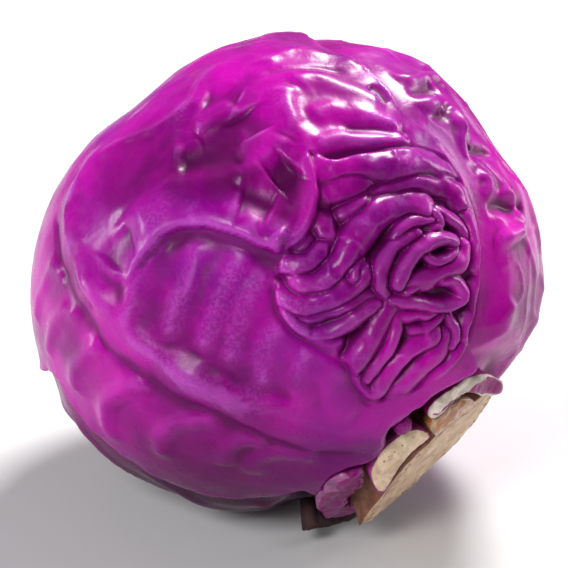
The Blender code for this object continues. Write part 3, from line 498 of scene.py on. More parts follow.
# Their length beside the midrib's, how much of it is lost towards the tip, and how they curve.
VEIN_REACH, VEIN_LOSS = 0.62, 0.34
VEIN_FORWARD, VEIN_BEND, VEIN_ASIDE = 0.3, 0.4, 0.85


def vein_tree(chart, base, tip, pairs, midrib, side):
    """A midrib from base to tip with curved side veins off both sides. Sizes are in mm."""
    a, b = chart.flat(np.array([base, tip]))
    length = np.linalg.norm(b - a)
    forward = (b - a) / length
    over = np.array([-forward[1], forward[0]])
    lines = [(midrib, np.array([a + t * (b - a) for t in np.linspace(0, 1, 7)]))]
    t = np.linspace(0, 1, 6)[:, None]
    for k in range(pairs):
        for hand in (-1, 1):
            along = VEIN_START + VEIN_SPAN * (k + VEIN_LAG * (hand > 0)) / pairs
            start = a + forward * length * along
            reach = length * (VEIN_REACH - VEIN_LOSS * k / pairs)
            onward = forward * (VEIN_FORWARD * t + VEIN_BEND * t * t)
            lines.append((side, start + reach * (onward + hand * over * VEIN_ASIDE * t)))
    return [Fold("ridge", size[0], size[1], chart.round(line)) for size, line in lines]


RIGHT_VEINS = vein_tree(
    RIGHT_MARGIN.chart, by_stem(-88, 24), behind(62, 124), 5, (3.4, 1.5), (2.0, 0.9)
)
UNDER_VEINS = vein_tree(
    UNDER_MARGIN.chart, by_stem(96, 24), behind(204, 120), 5, (4.0, 1.9), (2.1, 1.1)
)
BACK_VEINS = vein_tree(
    BACK_MARGIN.chart, by_stem(180, 24), behind(127, 112), 6, (4.2, 2.0), (2.1, 1.1)
)


def total(some_folds, n):
    return np.sum([fold.rise(n) for fold in some_folds], axis=0)


def press(points, depth):
    """Flattens what lies on the table: a surface this deep in the head stays that far above it."""
    points[:, 2] = np.maximum(points[:, 2], depth)
    return points


def lowest_point():
    """The envelope's lowest point, from the head's middle."""
    turns, tilts = np.arange(230, 310, 0.5), np.arange(95, 135, 0.5)
    ring = np.array([behind(turn, tilt) for turn in turns for tilt in tilts])
    points = ring * envelope(ring)[:, None]
    return points[points[:, 2].argmin()]


LOWEST = lowest_point()
HEAD_MIDDLE = np.array([-LOWEST[0], -LOWEST[1], -LOWEST[2] - REST_PRESS])
REST_DIRECTION = unit(LOWEST)


def near_rest(n):
    """1 round the flat spot, where the leaf is bare of relief, and 0 elsewhere."""
    return 1 - smoothstep(distance_over(n, REST_DIRECTION) / REST_CLEAR - 1)


def at(n, depth):
    """World points at these depths below the envelope."""
    return press(HEAD_MIDDLE + n * (envelope(n) - depth)[:, None], depth)


def passing_under(pieces, n, gap=GAP):
    """How deep a surface lies to pass under these pieces, rising again outside their margins."""
    depth = np.zeros(len(n))
    for piece in pieces:
        cover = smoothstep(1 + (piece.margin.depth_in(n) + FULL_COVER) / OVERLAP_RAMP)
        some = cover > 0
        if some.any():
            depth[some] = np.maximum(depth[some], cover[some] * (piece.inner(n[some]) + gap))
    return depth


class Leaf:
    """One leaf: its margin, what lies over it, its body thickness and its relief."""

    def __init__(self, name, margin, over, body_mm, relief, extra=None):
        self.name, self.margin, self.over, self.relief = name, margin, over, relief
        self.body, self.extra = body_mm * MM, extra

    def outer_depth(self, n):
        return passing_under(self.over, n)

    def inner(self, n):
        depth_in = self.margin.depth_in(n)
        thickness = (self.body - EDGE_THICKNESS) * smoothstep(depth_in / EDGE_TO_BODY)
        thickness += EDGE_THICKNESS
        if self.extra:
            thickness += self.extra(n)
        return self.outer_depth(n) + thickness

    def outer(self, n):
        outer = self.outer_depth(n)
        bare = np.clip(1 - outer / EDGE_THICKNESS, 0, 1)
        edge = smoothstep(self.margin.depth_in(n) / EDGE_FADE)
        rise = self.relief(n) * bare * edge * (1 - near_rest(n))
        return np.minimum(outer - rise, self.inner(n) - LEAST_THICKNESS)


class Block:
    """A cut leaf base, or another thick scrap: its margin, the plane of its cut, and its depth."""

    def __init__(self, name, middle, points, radius_mm, facing, depth=BLOCK_DEPTH, wave_mm=0.0):
        self.name, self.margin = name, Outline(middle, points, 2.0)
        self.plane, self.facing = unit(middle) * radius_mm * MM, facing
        self.depth, self.wave = depth, wave_mm * MM

    def outer(self, n):
        radius = (self.plane @ self.facing) / (n @ self.facing)
        worn = 0.5 * MM * (1 - smoothstep(self.margin.depth_in(n) / (1.2 * MM)))
        wave = self.wave * np.sin(self.margin.chart.flat(n)[:, 0] / (1.7 * MM))
        return np.minimum(envelope(n) - radius + worn - wave, self.inner(n) - LEAST_THICKNESS)

    def inner(self, n):
        return np.full(len(n), self.depth)


def round_stem(rows):
    return [by_stem(turn, away) for turn, away in rows]


PALE_BASE = Block("cut_leaf_base", by_stem(22, 19.4), round_stem([
    (-2, 16.0), (10, 16.1), (22, 16.3), (34, 16.9), (46, 17.6), (53, 18.3), (51, 20.0), (44, 22.2),
    (36, 24.0), (23, 24.3), (11, 23.0), (2, 20.8), (-3, 17.8),
]), 73.4, behind(-52, 44), 4.4 * MM)
BROWN_BASE = Block("cut_leaf_base_brown", by_stem(-24, 18.8), round_stem([
    (-45, 17.4), (-36, 16.9), (-24, 16.4), (-14, 16.1), (-7, 16.0), (-6, 18.0), (-11, 20.6),
    (-20, 21.9), (-30, 21.6), (-39, 20.2), (-46, 18.4),
]), 74.2, behind(-36, 55), 4.4 * MM)
TORN_BASE = Block("torn_leaf_base", by_stem(-40, 24.4), round_stem([
    (-72, 19.0), (-62, 19.2), (-52, 19.5), (-46, 20.6), (-36, 22.3), (-24, 22.9), (-12, 22.6),
    (-9, 24.0), (-14, 25.8), (-24, 26.4), (-36, 26.2), (-48, 25.2), (-60, 23.6), (-68, 21.9),
    (-73, 20.4),
]), 74.4, behind(-38, 58), 3.4 * MM, 0.35)
STUB = Block("leaf_stub", by_stem(70, 24), round_stem([
    (38, 25.2), (46, 23.9), (54, 22.3), (60, 21.9), (68, 22.9), (84, 24.3), (98, 24.4),
    (110, 24.3), (112, 26.5), (108, 29.6), (98, 30.4), (84, 30.6), (68, 31.2), (54, 31.4),
    (45, 30.6), (39, 28.0),
]), 72.6, behind(-70, 71), 3.4 * MM, 0.4)
BUD = Block("bud", by_stem(5.5, 25.8), round_stem([
    (5.5, 28.2), (1.8, 27.5), (0.3, 25.8), (1.8, 24.1), (5.5, 23.6), (9.4, 24.1), (11.0, 25.8),
    (9.4, 27.5),
]), 74.0, behind(-50, 52), 3.0 * MM)
SCRAP = Block("dry_leaf_scrap", by_stem(108, 29), round_stem([
    (93, 31.8), (99, 31.5), (106, 31.0), (112, 29.8), (115.4, 27.4), (119, 28.4), (115.5, 31.4),
    (110, 33.6), (105, 35.6), (100, 34.4), (96, 36.2), (92, 34.6), (91, 32.8),
]), 76.2, behind(-76, 84), 1.4 * MM, 0.4)
BLOCKS = [PALE_BASE, BROWN_BASE, TORN_BASE, STUB, BUD, SCRAP]


class Stem:
    """The stem's stump, fanning out from its root in the heart to its cut."""

    facing = behind(CUT_ROUND, CUT_FROM_SIGHT)

    def __init__(self):
        ring = []
        for turn in range(0, 360, 15):
            near, across = math.cos(math.radians(turn)), math.sin(math.radians(turn))
            away = 1 / math.hypot(near / STEM_FAN_NEAR, across / STEM_FAN_ACROSS)
            low_side = smoothstep(1 - abs(turn - STEM_SPUR_AT) / STEM_SPUR_REACH)
            ring.append(by_stem(turn, away + STEM_SPUR * low_side))
        self.margin = Outline(STEM_AXIS, ring, 3.0)

    def outer(self, n):
        plane = CUT_RADIUS * STEM_AXIS @ self.facing
        depth_in = self.margin.depth_in(n)
        worn = 0.7 * MM * (1 - smoothstep(depth_in / (1.6 * MM)))
        hollow = 0.8 * MM * smoothstep((depth_in - 6 * MM) / (9 * MM))
        return envelope(n) - plane / (n @ self.facing) + worn + hollow

    def inner(self, n):
        return envelope(n) - STEM_ROOT


STEM = Stem()


def heart_depth(n):
    """The heart's surface: under every leaf, and hollowed where the stem's root sits."""
    depth = passing_under([FRONT_LEAF, UNDER_LEAF, RIGHT_LEAF, BACK_LEAF] + BLOCKS, n, HEART_GAP)
    depth = np.maximum(depth, HEART_DEPTH)
    pit = (envelope(n) - PIT_FLOOR) * (1 - smoothstep((degrees_off_stem(n) - PIT_RIM) / PIT_WIDTH))
    return np.maximum(depth, pit)


# How near a grid's points come to the known ones, as a share of the grid's size.
CLEAR_SHARE = 0.62


def lattice(polygon, size_at, sizes):
    """Points in the polygon, spaced as size_at says: grids of the sizes, the finest first."""
    low, high = polygon.min(0), polygon.max(0)
    chosen = [polygon]
    for k, size in enumerate(sizes):
        rows = np.arange(low[1], high[1], size * math.sqrt(0.75))
        x, y = np.meshgrid(np.arange(low[0], high[0], size), rows)
        x = x + 0.5 * size * (np.arange(len(rows)) % 2)[:, None]
        grid = np.column_stack([x.ravel(), y.ravel()])
        grid = grid[inside(polygon, grid)]
        wanted = size_at(grid)
        ok = np.ones(len(grid), bool)
        if k:
            ok &= wanted >= size
        if k + 1 < len(sizes):
            ok &= wanted < sizes[k + 1]
        grid = grid[ok]
        known = np.concatenate(chosen)
        tree = kdtree.KDTree(len(known))
        for i, q in enumerate(known):
            tree.insert((q[0], q[1], 0), i)
        tree.balance()
        clear = [tree.find((q[0], q[1], 0))[2] > CLEAR_SHARE * size for q in grid]
        chosen.append(grid[np.array(clear, bool)])
    return np.concatenate(chosen[1:])


def triangulate(border, points):
    """Triangles over the border polygon and the points in it, as rows of three numbers."""
    flat_mm = [Vector(q) for q in np.concatenate([border, points]) * 1000]
    count = len(border)
    edges = [(i, (i + 1) % count) for i in range(count)]
    found = geometry.delaunay_2d_cdt(flat_mm, edges, [], 1, 1e-6)
    whose = [number[0] for number in found[3]]
    rows = [[whose[i] for i in face] for face in found[2]]
    return [row for row in rows if len(set(row)) == 3]


# Fine surface detail.

# The narrow creases between the crumpled rolls, and the room under the front leaf's folds.
CREASE_WIDTH = 0.65 * MM
CREASE_DEPTH = 0.9 * MM
DEEP_CRUMPLE = 4.4 * MM
DEEP_UPPER = 3.2 * MM
DEEP_RIGHT = 1.6 * MM
# How far the crumpled rolls lean over, for each unit of height above their middle height.
LEAN = 0.24
LEAN_FROM = 1.2 * MM
LEAN_WAY = unit(-0.85 * UP - 0.35 * RIGHT)
# How far a leaf's margin lifts off what it lies on, at most.
CURL = 0.9 * MM
CURL_WIDTH = 2.2 * MM


def even(size_mm):
    return lambda q: np.full(len(q), size_mm * MM)


def hashed(i, j, k, seed):
    """A repeatable number from -1 to 1 for each lattice point."""
    h = i * 374761393 + j * 668265263 + k * 2147483647 + seed * 974711
    h = (h ^ (h >> 13)) * 1274126177
    h = h ^ (h >> 16)
    return (h & 0xFFFFF) / float(0x7FFFF) - 1.0


def noise(p, wavelength_mm, seed=0):
    """Smooth noise from -1 to 1 at points in metres."""
    q = p / (wavelength_mm * MM) + 1000.0
    cell = np.floor(q).astype(np.int64)
    t = q - cell
    t = t * t * t * (t * (6 * t - 15) + 10)
    found = np.zeros(len(p))
    for dx in (0, 1):
        for dy in (0, 1):
            for dz in (0, 1):
                weight = (
                    np.where(dx, t[:, 0], 1 - t[:, 0])
                    * np.where(dy, t[:, 1], 1 - t[:, 1])
                    * np.where(dz, t[:, 2], 1 - t[:, 2])
                )
                found += weight * hashed(cell[:, 0] + dx, cell[:, 1] + dy, cell[:, 2] + dz, seed)
    return found


def waves(p, *rows):
    """Noise added up from rows of height in mm, wavelength in mm and seed, in metres."""
    return sum(height * noise(p, wavelength, seed) for height, wavelength, seed in rows) * MM


def warped(n, size_mm, wavelength_mm, seed):
    """The directions, each pushed aside a little, so that drawn lines are never quite even."""
    p = n * MEAN_RADIUS
    push = np.stack([noise(p, wavelength_mm, seed + i) for i in range(3)], axis=1)
    return units(n + push * size_mm * MM / MEAN_RADIUS)


def plain_share(some_folds, n):
    """How close each direction is to the nearest of the folds' lines, from 0 to 1."""
    found = np.zeros(len(n))
    for fold in some_folds:
        found = np.maximum(found, fold.rise(n) / fold.height)
    return np.clip(found, 0, 1)


def ridged(p, wavelength_mm, seed):
    """Creased noise: 1 along wandering lines, falling to 0 between them."""
    return 1 - np.clip(np.abs(noise(p, wavelength_mm, seed)) * 2.2, 0, 1)


# Where the crumple's outer rolls stand over the smooth blade, a crease runs along their foot.
FOOT_CREASE = folds(
    "ridge",
    (1.0, -0.8, (268, 262), (273, 288), (277, 314), (295, 336), (322, 350), (344, 364), (353, 386),
     (364, 401), (384, 402)),
    (1.0, -0.6, (156, 258), (178, 243), (204, 238), (232, 244), (258, 256), (276, 264)),
)


def front_fine(n):
    """The front leaf's relief with its small wrinkles."""
    p = n * MEAN_RADIUS
    moved = warped(warped(n, 0.85, 9, 3), 0.28, 3.2, 13)
    crumple = smoothstep(CRUMPLE.depth_in(n) / (2 * MM) + 0.5)
    patchy = 0.55 + 0.45 * noise(p, 10, 29)
    smooth = total(MIDRIB + SIDE_VEINS + UPPER_FOLDS + LIPS, moved)
    smooth += patchy * total(FOOT_CREASE, moved)
    far = distance_over(n, SMOOTH_MIDDLE)
    smooth += LEVEL_OF_SMOOTH * (1 - smoothstep(far / SMOOTH_RADIUS - 0.4))
    rise = smooth * (1 - crumple) + crumple * (LEVEL_OF_CRUMPLE + crumple_rise(moved, p))
    crests = ridged(p, 8, 25) ** 3 * ridged(p, 21, 26)
    rise += crumple * waves(p, (0.7, 14, 20), (0.55, 5.2, 21), (0.20, 2.5, 22))
    rise += (1 - crumple) * waves(p, (0.28, 17, 23), (0.10, 5.5, 24))
    upper = smoothstep((n @ UP - 0.10) / 0.25) * (1 - crumple)
    rise += upper * waves(p, (0.45, 11, 27), (0.12, 4.2, 28))
    return rise + 0.5 * MM * crumple * crests


def right_fine(n):
    p = n * MEAN_RADIUS
    rise = total(RIGHT_FOLDS + RIGHT_VEINS, warped(n, 0.8, 10, 31))
    near = smoothstep((n @ BACK + 0.25) / 0.4)
    rise += waves(p, (0.55, 16, 33), (0.16, 6, 34))
    return rise + near * (waves(p, (0.75, 9.5, 35)) + 0.35 * MM * ridged(p, 12, 36) ** 3)


def under_fine(n):
    p = n * MEAN_RADIUS
    rise = total(UNDER_VEINS, warped(n, 0.9, 12, 41))
    return rise + waves(p, (0.45, 18, 43), (0.12, 6, 44))


def back_fine(n):
    p = n * MEAN_RADIUS
    rise = total(BACK_VEINS, warped(n, 0.9, 12, 51)) + 0.3 * MM * ridged(p, 24, 55) ** 4
    return rise + waves(p, (0.6, 20, 53), (0.16, 6.5, 54))


def smoothed(values, edges, rounds):
    """Each value averaged with its neighbours' over the mesh, several times."""
    a, b = edges[:, 0], edges[:, 1]
    size = len(values)
    known = np.maximum(np.bincount(a, minlength=size) + np.bincount(b, minlength=size), 1)
    for _ in range(rounds):
        near = np.bincount(a, values[b], size) + np.bincount(b, values[a], size)
        values = 0.5 * values + 0.5 * near / known
    return values


def crumple_rise(n, p):
    """The crumpled rolls, uneven along their length, with creases where two meet."""
    first, second = np.zeros(len(n)), np.zeros(len(n))
    uneven = [1 + 0.26 * noise(p, 10, seed) for seed in (101, 104, 107)]
    for k, roll in enumerate(CRUMPLE_ROLLS):
        rise = roll.rise(n) * uneven[k % 3]
        second = np.maximum(second, np.minimum(first, rise))
        first = np.maximum(first, rise)
    crease = np.exp(-((first - second) / CREASE_WIDTH) ** 2)
    depth = CREASE_DEPTH * (0.55 + 0.6 * noise(p, 9, 110))
    return first - depth * crease * smoothstep(first / (2 * MM))


def deep_extra(n):
    """How much deeper the front leaf's inner face lies under its folds."""
    crumple = smoothstep((CRUMPLE.depth_in(n) + 3 * MM) / (8 * MM))
    upper = smoothstep((n @ UP - 0.05) / 0.2) * smoothstep(FRONT_MARGIN.depth_in(n) / (12 * MM))
    return np.maximum(DEEP_CRUMPLE * crumple, DEEP_UPPER * upper)


def right_extra(n):
    """The same for the right leaf."""
    near = smoothstep((n @ BACK + 0.3) / 0.3)
    return DEEP_RIGHT * near * smoothstep(RIGHT_MARGIN.depth_in(n) / (14 * MM))


FRONT_LEAF = Leaf("front_leaf", FRONT_MARGIN, [], 2.5, front_fine, deep_extra)
UNDER_LEAF = Leaf("under_leaf", UNDER_MARGIN, [FRONT_LEAF] + BLOCKS, 1.7, under_fine)
RIGHT_LEAF = Leaf(
    "right_leaf", RIGHT_MARGIN, [FRONT_LEAF, UNDER_LEAF] + BLOCKS, 3.1, right_fine, right_extra
)
BACK_LEAF = Leaf(
    "back_leaf", BACK_MARGIN, [FRONT_LEAF, UNDER_LEAF, RIGHT_LEAF] + BLOCKS, 1.8, back_fine
)


# How many times a height is averaged to tell a crest from a crease, closely and widely.
CLOSE_ROUNDS = 14
WIDE_ROUNDS = 90


def link(name, points, faces, body, material_of, nodes=()):
    mesh = bpy.data.meshes.new(name)
    mesh.from_pydata([tuple(p) for p in points], [], faces)
    mesh.update()
    mesh.shade_smooth()
    mesh.materials.append(material_of)
    made = bpy.data.objects.new(name, mesh)
    bpy.context.collection.objects.link(made)
    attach(made, body)
    if nodes:
        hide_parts(*nodes)
    return made


def put_attribute(made, name, values):
    found = made.data.attributes.new(name, "FLOAT", "POINT")
    found.data.foreach_set("value", np.asarray(values, dtype=np.float32))


def curled(piece, n, height):
    """How far the margin lifts: here more and there less, and not at all further in."""
    if not height:
        return np.zeros(len(n))
    p = n * MEAN_RADIUS
    lift = np.clip(0.5 + noise(p, 11, 85) + 0.5 * noise(p, 4.5, 86), 0, 1.4)
    edge = np.exp(-np.maximum(piece.margin.depth_in(n), 0) / CURL_WIDTH)
    return height * lift * edge * (1 - near_rest(n))


def fine_piece(
    piece, border_mm, outer_size, inner_size, sizes, round_mm, ragged_mm, curl=0.0
):
    """The piece with a fine outer face and a rounded margin.

    Gives its points, faces, directions, and how many points its outer and inner faces have.
    """
    chart = piece.margin.chart
    line = smooth_line(piece.margin.points, border_mm * MM / MEAN_RADIUS, closed=True)
    border = chart.flat(line)
    if ragged_mm:
        line = warped(warped(line, ragged_mm, 3.1, 81), 0.5 * ragged_mm, 1.3, 91)
        border = chart.flat(line)
    if clockwise(border):
        line, border = line[::-1], border[::-1]
    count = len(border)
    more = lattice(border, outer_size, sizes)
    n_outer = np.concatenate([line, chart.round(more)])
    outer = at(n_outer, piece.outer(n_outer) - curled(piece, n_outer, curl))
    faces = triangulate(border, more)
    more_in = lattice(border, inner_size, sizes[-1:])
    n_inner = np.concatenate([line, chart.round(more_in)])
    inner = at(n_inner, piece.inner(n_inner) - curled(piece, n_inner, curl))
    below = len(outer)
    faces.extend([below + c, below + b, below + a] for a, b, c in triangulate(border, more_in))
    along = np.roll(outer[:count], -1, axis=0) - np.roll(outer[:count], 1, axis=0)
    away = np.cross(along, line)
    away /= np.linalg.norm(away, axis=1)[:, None]
    middle = 0.5 * (outer[:count] + inner[:count]) + away * round_mm * MM
    ring = below + len(inner)
    for i in range(count):
        j = (i + 1) % count
        faces.append([i, ring + i, ring + j, j])
        faces.append([ring + i, below + i, below + j, ring + j])
    points = np.concatenate([outer, inner, middle])
    return points, faces, np.concatenate([n_outer, n_inner, line]), len(outer), len(inner)


def bloom_and_highlight_share(leaf, n):
    """How pale each point is: the leaf's real waxen coat, most on the smooth blade, and painted
    highlight on the upper folds, the crumpled rolls and a lit streak along the midrib's upper left
    end.
    """
    if leaf is not FRONT_LEAF:
        return np.full(len(n), 0.50)
    p = n * MEAN_RADIUS
    far = distance_over(n, WAX_MIDDLE) / MM
    blade = 1 - smoothstep((far + 5 * noise(p, 12, 94) - 24) / 14)
    # Painted highlight: the upper part is paler, where the light falls from above.
    upper = 1.1 * smoothstep((n @ UP - 0.25) / 0.3)
    # Painted sheen on the crumpled rolls; the material keeps it to their raised folds.
    crumple = 0.6 * smoothstep(CRUMPLE.depth_in(n) / (3 * MM))
    # Painted highlight: a patchy lit streak along the midrib's upper left end.
    streak = 2.6 * plain_share(MIDRIB[2:3], n) * smoothstep(0.6 + noise(p, 7, 95))
    return np.maximum.reduce([np.full(len(n), 0.18), blade, upper, crumple, streak])


def painted_shade(n):
    """Painted shade: how far the leaf's colour is darkened, most low on the head and in hollows of
    the upper folds, above the lip.
    """
    p = n * MEAN_RADIUS
    # Painted shade, stronger low on the head, where less light reaches.
    low = 0.9 * smoothstep((-(n @ UP) - 0.42 + 0.06 * noise(p, 15, 96)) / 0.45)
    found = [0.10 + 0.10 * noise(p, 20, 97), low]
    for middle, reach_mm, share in PAINTED_SHADE_SPOTS:
        far = distance_over(n, middle) / MM + 4 * noise(p, 9, 98)
        found.append(share * (1 - smoothstep((far - 0.35 * reach_mm) / (0.65 * reach_mm))))
    return np.clip(np.maximum.reduce(found), 0, 1)


# Materials.

SURFACE_KEYS = ("rib", "crest", "fold", "rim", "wax", "shade")
WAX_MIDDLE = seen(205, 300)
# Painted shade in hollows: the middle, its reach in mm, and how dark.
PAINTED_SHADE_SPOTS = (
    (seen(222, 158), 17, 1.0),
    (seen(190, 170), 14, 0.9),
    (seen(135, 165), 24, 0.7),
    (seen(290, 190), 9, 0.7),
)


class Nodes:
    """Short ways to add shader nodes."""

    def __init__(self, name):
        self.material = bpy.data.materials.new(name)
        self.material.use_nodes = True
        self.tree = self.material.node_tree
        self.shader = self.tree.nodes["Principled BSDF"]
        self.place = self.add("ShaderNodeTexCoord").outputs["Object"]

    def add(self, kind, **settings):
        made = self.tree.nodes.new(kind)
        for key, value in settings.items():
            setattr(made, key, value)
        return made

    def join(self, a, b):
        self.tree.links.new(a, b)

    def put(self, socket, value):
        if isinstance(value, bpy.types.NodeSocket):
            self.join(value, socket)
        else:
            socket.default_value = value

    def attribute(self, name):
        return self.add("ShaderNodeAttribute", attribute_name=name).outputs["Fac"]

    def noise(self, scale, detail=3.0, distortion=0.0, roughness=0.5):
        made = self.add("ShaderNodeTexNoise")
        made.inputs["Scale"].default_value = scale
        made.inputs["Detail"].default_value = detail
        made.inputs["Roughness"].default_value = roughness
        made.inputs["Distortion"].default_value = distortion
        self.join(self.place, made.inputs["Vector"])
        return made.outputs["Fac"]

    def cells(self, scale, warp, warp_scale):
        """How far each place is from the edges of wandering cells."""
        made = self.add("ShaderNodeTexVoronoi", feature="DISTANCE_TO_EDGE")
        made.inputs["Scale"].default_value = scale
        field = self.add("ShaderNodeTexNoise")
        field.inputs["Scale"].default_value = warp_scale
        self.join(self.place, field.inputs["Vector"])
        shifted = self.add("ShaderNodeVectorMath", operation="MULTIPLY_ADD")
        self.join(field.outputs["Color"], shifted.inputs[0])
        shifted.inputs[1].default_value = (warp, warp, warp)
        self.join(self.place, shifted.inputs[2])
        self.join(shifted.outputs["Vector"], made.inputs["Vector"])
        return made.outputs["Distance"]

    def ramp(self, value, low, high, to_low=0.0, to_high=1.0):
        made = self.add("ShaderNodeMapRange", interpolation_type="SMOOTHSTEP")
        self.put(made.inputs["Value"], value)
        made.inputs["From Min"].default_value = low
        made.inputs["From Max"].default_value = high
        made.inputs["To Min"].default_value = to_low
        made.inputs["To Max"].default_value = to_high
        return made.outputs["Result"]

    def math(self, operation, a, b=0.0):
        made = self.add("ShaderNodeMath", operation=operation)
        self.put(made.inputs[0], a)
        self.put(made.inputs[1], b)
        return made.outputs[0]

    def mix(self, factor, a, b):
        made = self.add("ShaderNodeMix", data_type="RGBA")
        self.put(made.inputs[0], factor)
        for socket, value in ((made.inputs[6], a), (made.inputs[7], b)):
            if isinstance(value, tuple):
                socket.default_value = (*value, 1.0)
            else:
                self.join(value, socket)
        return made.outputs[2]

    def bump(self, height, distance_mm, strength=1.0, before=None):
        made = self.add("ShaderNodeBump")
        made.inputs["Strength"].default_value = strength
        made.inputs["Distance"].default_value = distance_mm * MM
        self.join(height, made.inputs["Height"])
        if before is not None:
            self.join(before, made.inputs["Normal"])
        return made.outputs["Normal"]

    def set(self, **values):
        for key, value in values.items():
            self.put(self.shader.inputs[key.replace("_", " ")], value)
        return self.material


def leaf_material(name, deep, clear, bloom_and_highlight_colour, bloom_share):
    """A purple leaf: clear on the blade, a speckled pale coat on ridges (real, and painted
    highlight on raised folds and crests), and painted shade low down, in hollows and in creases.
    """
    w = Nodes(name)
    rib, crest, fold, rim, wax, shade = (w.attribute(key) for key in SURFACE_KEYS)
    colour = w.mix(w.ramp(w.noise(34, 3, 0.5), 0.35, 0.65), deep, clear)
    violet = (deep[0] * 0.80, deep[1], deep[2] * 1.35)
    colour = w.mix(w.ramp(w.noise(19, 2, 0.3), 0.48, 0.70, 0.0, 0.6), colour, violet)
    streak = w.noise(88, 4, 1.6, 0.6)
    colour = w.mix(w.ramp(streak, 0.45, 0.75, 0.0, 0.45), colour, clear)
    net = w.cells(170, warp=0.006, warp_scale=110)
    vein = w.ramp(net, 0.0, 0.07, 1.0, 0.0)
    colour = w.mix(w.math("MULTIPLY", vein, 0.04), colour, bloom_and_highlight_colour)
    speck = w.ramp(w.noise(1100, 3, 0.2), 0.40, 0.64)
    cover = w.ramp(w.noise(62, 5, 0.8), 0.44, 0.70)
    # Painted highlight: the pale coat is thinned in low folds, so raised folds read lighter.
    cover = w.math("MULTIPLY", cover, w.ramp(fold, -0.20, 0.55, 0.12, 1.0))
    patches = w.ramp(w.noise(45, 4, 0.8), 0.35, 0.65, 0.3, 0.8)
    soft_rib = w.math("MULTIPLY", w.ramp(rib, 0.15, 1.0), patches)
    cover = w.math("MAXIMUM", cover, w.math("MULTIPLY", soft_rib, 0.8))
    cover = w.math("MULTIPLY", cover, w.ramp(speck, 0.0, 1.0, 0.25, 1.0))
    cover = w.math("MULTIPLY", cover, wax)
    colour = w.mix(w.math("MULTIPLY", cover, bloom_share), colour, bloom_and_highlight_colour)
    # The crests are paler: partly real coat, partly painted highlight.
    crest_bloom_and_highlight = w.math("MULTIPLY", w.ramp(crest, 0.25, 1.0, 0.0, 0.34), wax)
    colour = w.mix(crest_bloom_and_highlight, colour, bloom_and_highlight_colour)
    # Painted shade: this dark colour is laid low on the head and in hollows, by the shade
    # attribute, and in creases and low folds.
    dark = (deep[0] * 0.36, deep[1] * 0.2, deep[2] * 0.34)
    colour = w.mix(w.math("MULTIPLY", shade, 0.85), colour, dark)
    # Painted shade in low folds and in the creases between crests.
    wide = w.ramp(fold, -1.0, -0.10, 0.85, 0.0)
    hollow = w.math("MAXIMUM", wide, w.ramp(crest, -1.0, -0.22, 0.70, 0.0))
    colour = w.mix(hollow, colour, dark)
    colour = w.mix(w.math("MULTIPLY", rim, 0.30), colour, (0.55, 0.05, 0.42))
    normal = w.bump(net, 0.20, 0.22)
    normal = w.bump(w.noise(190, 4, 0.9), 0.30, 0.45, normal)
    normal = w.bump(w.noise(430, 4, 0.3), 0.15, 0.45, normal)
    normal = w.bump(w.noise(1500, 2), 0.025, 0.5, normal)
    rough = w.ramp(w.noise(120, 4), 0.3, 0.7, 0.24, 0.36)
    rough = w.math("ADD", rough, w.math("MULTIPLY", hollow, 0.2))
    return w.set(
        Base_Color=colour,
        Roughness=rough,
        Normal=normal,
        Specular_IOR_Level=0.19,
        Subsurface_Weight=0.03,
        Subsurface_Radius=(0.9, 0.08, 0.6),
        Subsurface_Scale=0.002,
        Coat_Weight=0.05,
        Coat_Roughness=0.16,
    )


def cut_material(name, face, spot, skin, roughness, coat, grain_scale):
    """A cut through a stem or a leaf base: fibrous, with vessel ends and skin round it."""
    w = Nodes(name)
    cut = w.attribute("cut")
    tone = w.ramp(w.noise(170, 5, 0.8, 0.6), 0.32, 0.68)
    colour = w.mix(tone, face, (face[0] * 0.62, face[1] * 0.55, face[2] * 0.50))
    light = w.ramp(w.noise(60, 4, 1.2, 0.6), 0.5, 0.75, 0.0, 0.5)
    colour = w.mix(light, colour, tuple(min(1.0, 1.35 * c + 0.02) for c in face))
    speck = w.ramp(w.noise(grain_scale * 3, 3), 0.62, 0.72, 0.0, 0.35)
    colour = w.mix(speck, colour, spot)
    colour = w.mix(w.ramp(w.attribute("vessels"), 0.25, 0.7), colour, spot)
    skin_tone = w.mix(w.ramp(w.noise(240, 4, 0.5), 0.35, 0.65), skin, tuple(0.6 * c for c in skin))
    colour = w.mix(w.ramp(cut, 0.35, 0.65), skin_tone, colour)
    normal = w.bump(w.noise(grain_scale, 5, 0.8, 0.6), 0.40, 0.7)
    normal = w.bump(w.noise(1800, 3), 0.10, 0.5, normal)
    return w.set(
        Base_Color=colour,
        Roughness=w.ramp(w.noise(300, 3), 0.3, 0.7, roughness - 0.08, roughness + 0.08),
        Normal=normal,
        Specular_IOR_Level=0.4,
        Subsurface_Weight=0.05,
        Subsurface_Radius=(1.0, 0.5, 0.3),
        Subsurface_Scale=0.002,
        Coat_Weight=coat,
        Coat_Roughness=0.12,
    )


def dry_material(name, dark, light):
    w = Nodes(name)
    tone = w.ramp(w.noise(260, 5, 1.0), 0.35, 0.65)
    colour = w.mix(tone, dark, light)
    normal = w.bump(w.noise(700, 5, 1.2), 0.4, 0.8)
    return w.set(Base_Color=colour, Roughness=0.75, Normal=normal)


def floor_material():
    w = Nodes("floor_pale")
    tone = w.ramp(w.noise(3, 2), 0.3, 0.7, 0.0, 1.0)
    colour = w.mix(tone, (0.62, 0.62, 0.62), (0.64, 0.64, 0.64))
    return w.set(Base_Color=colour, Roughness=0.85)


# Building.


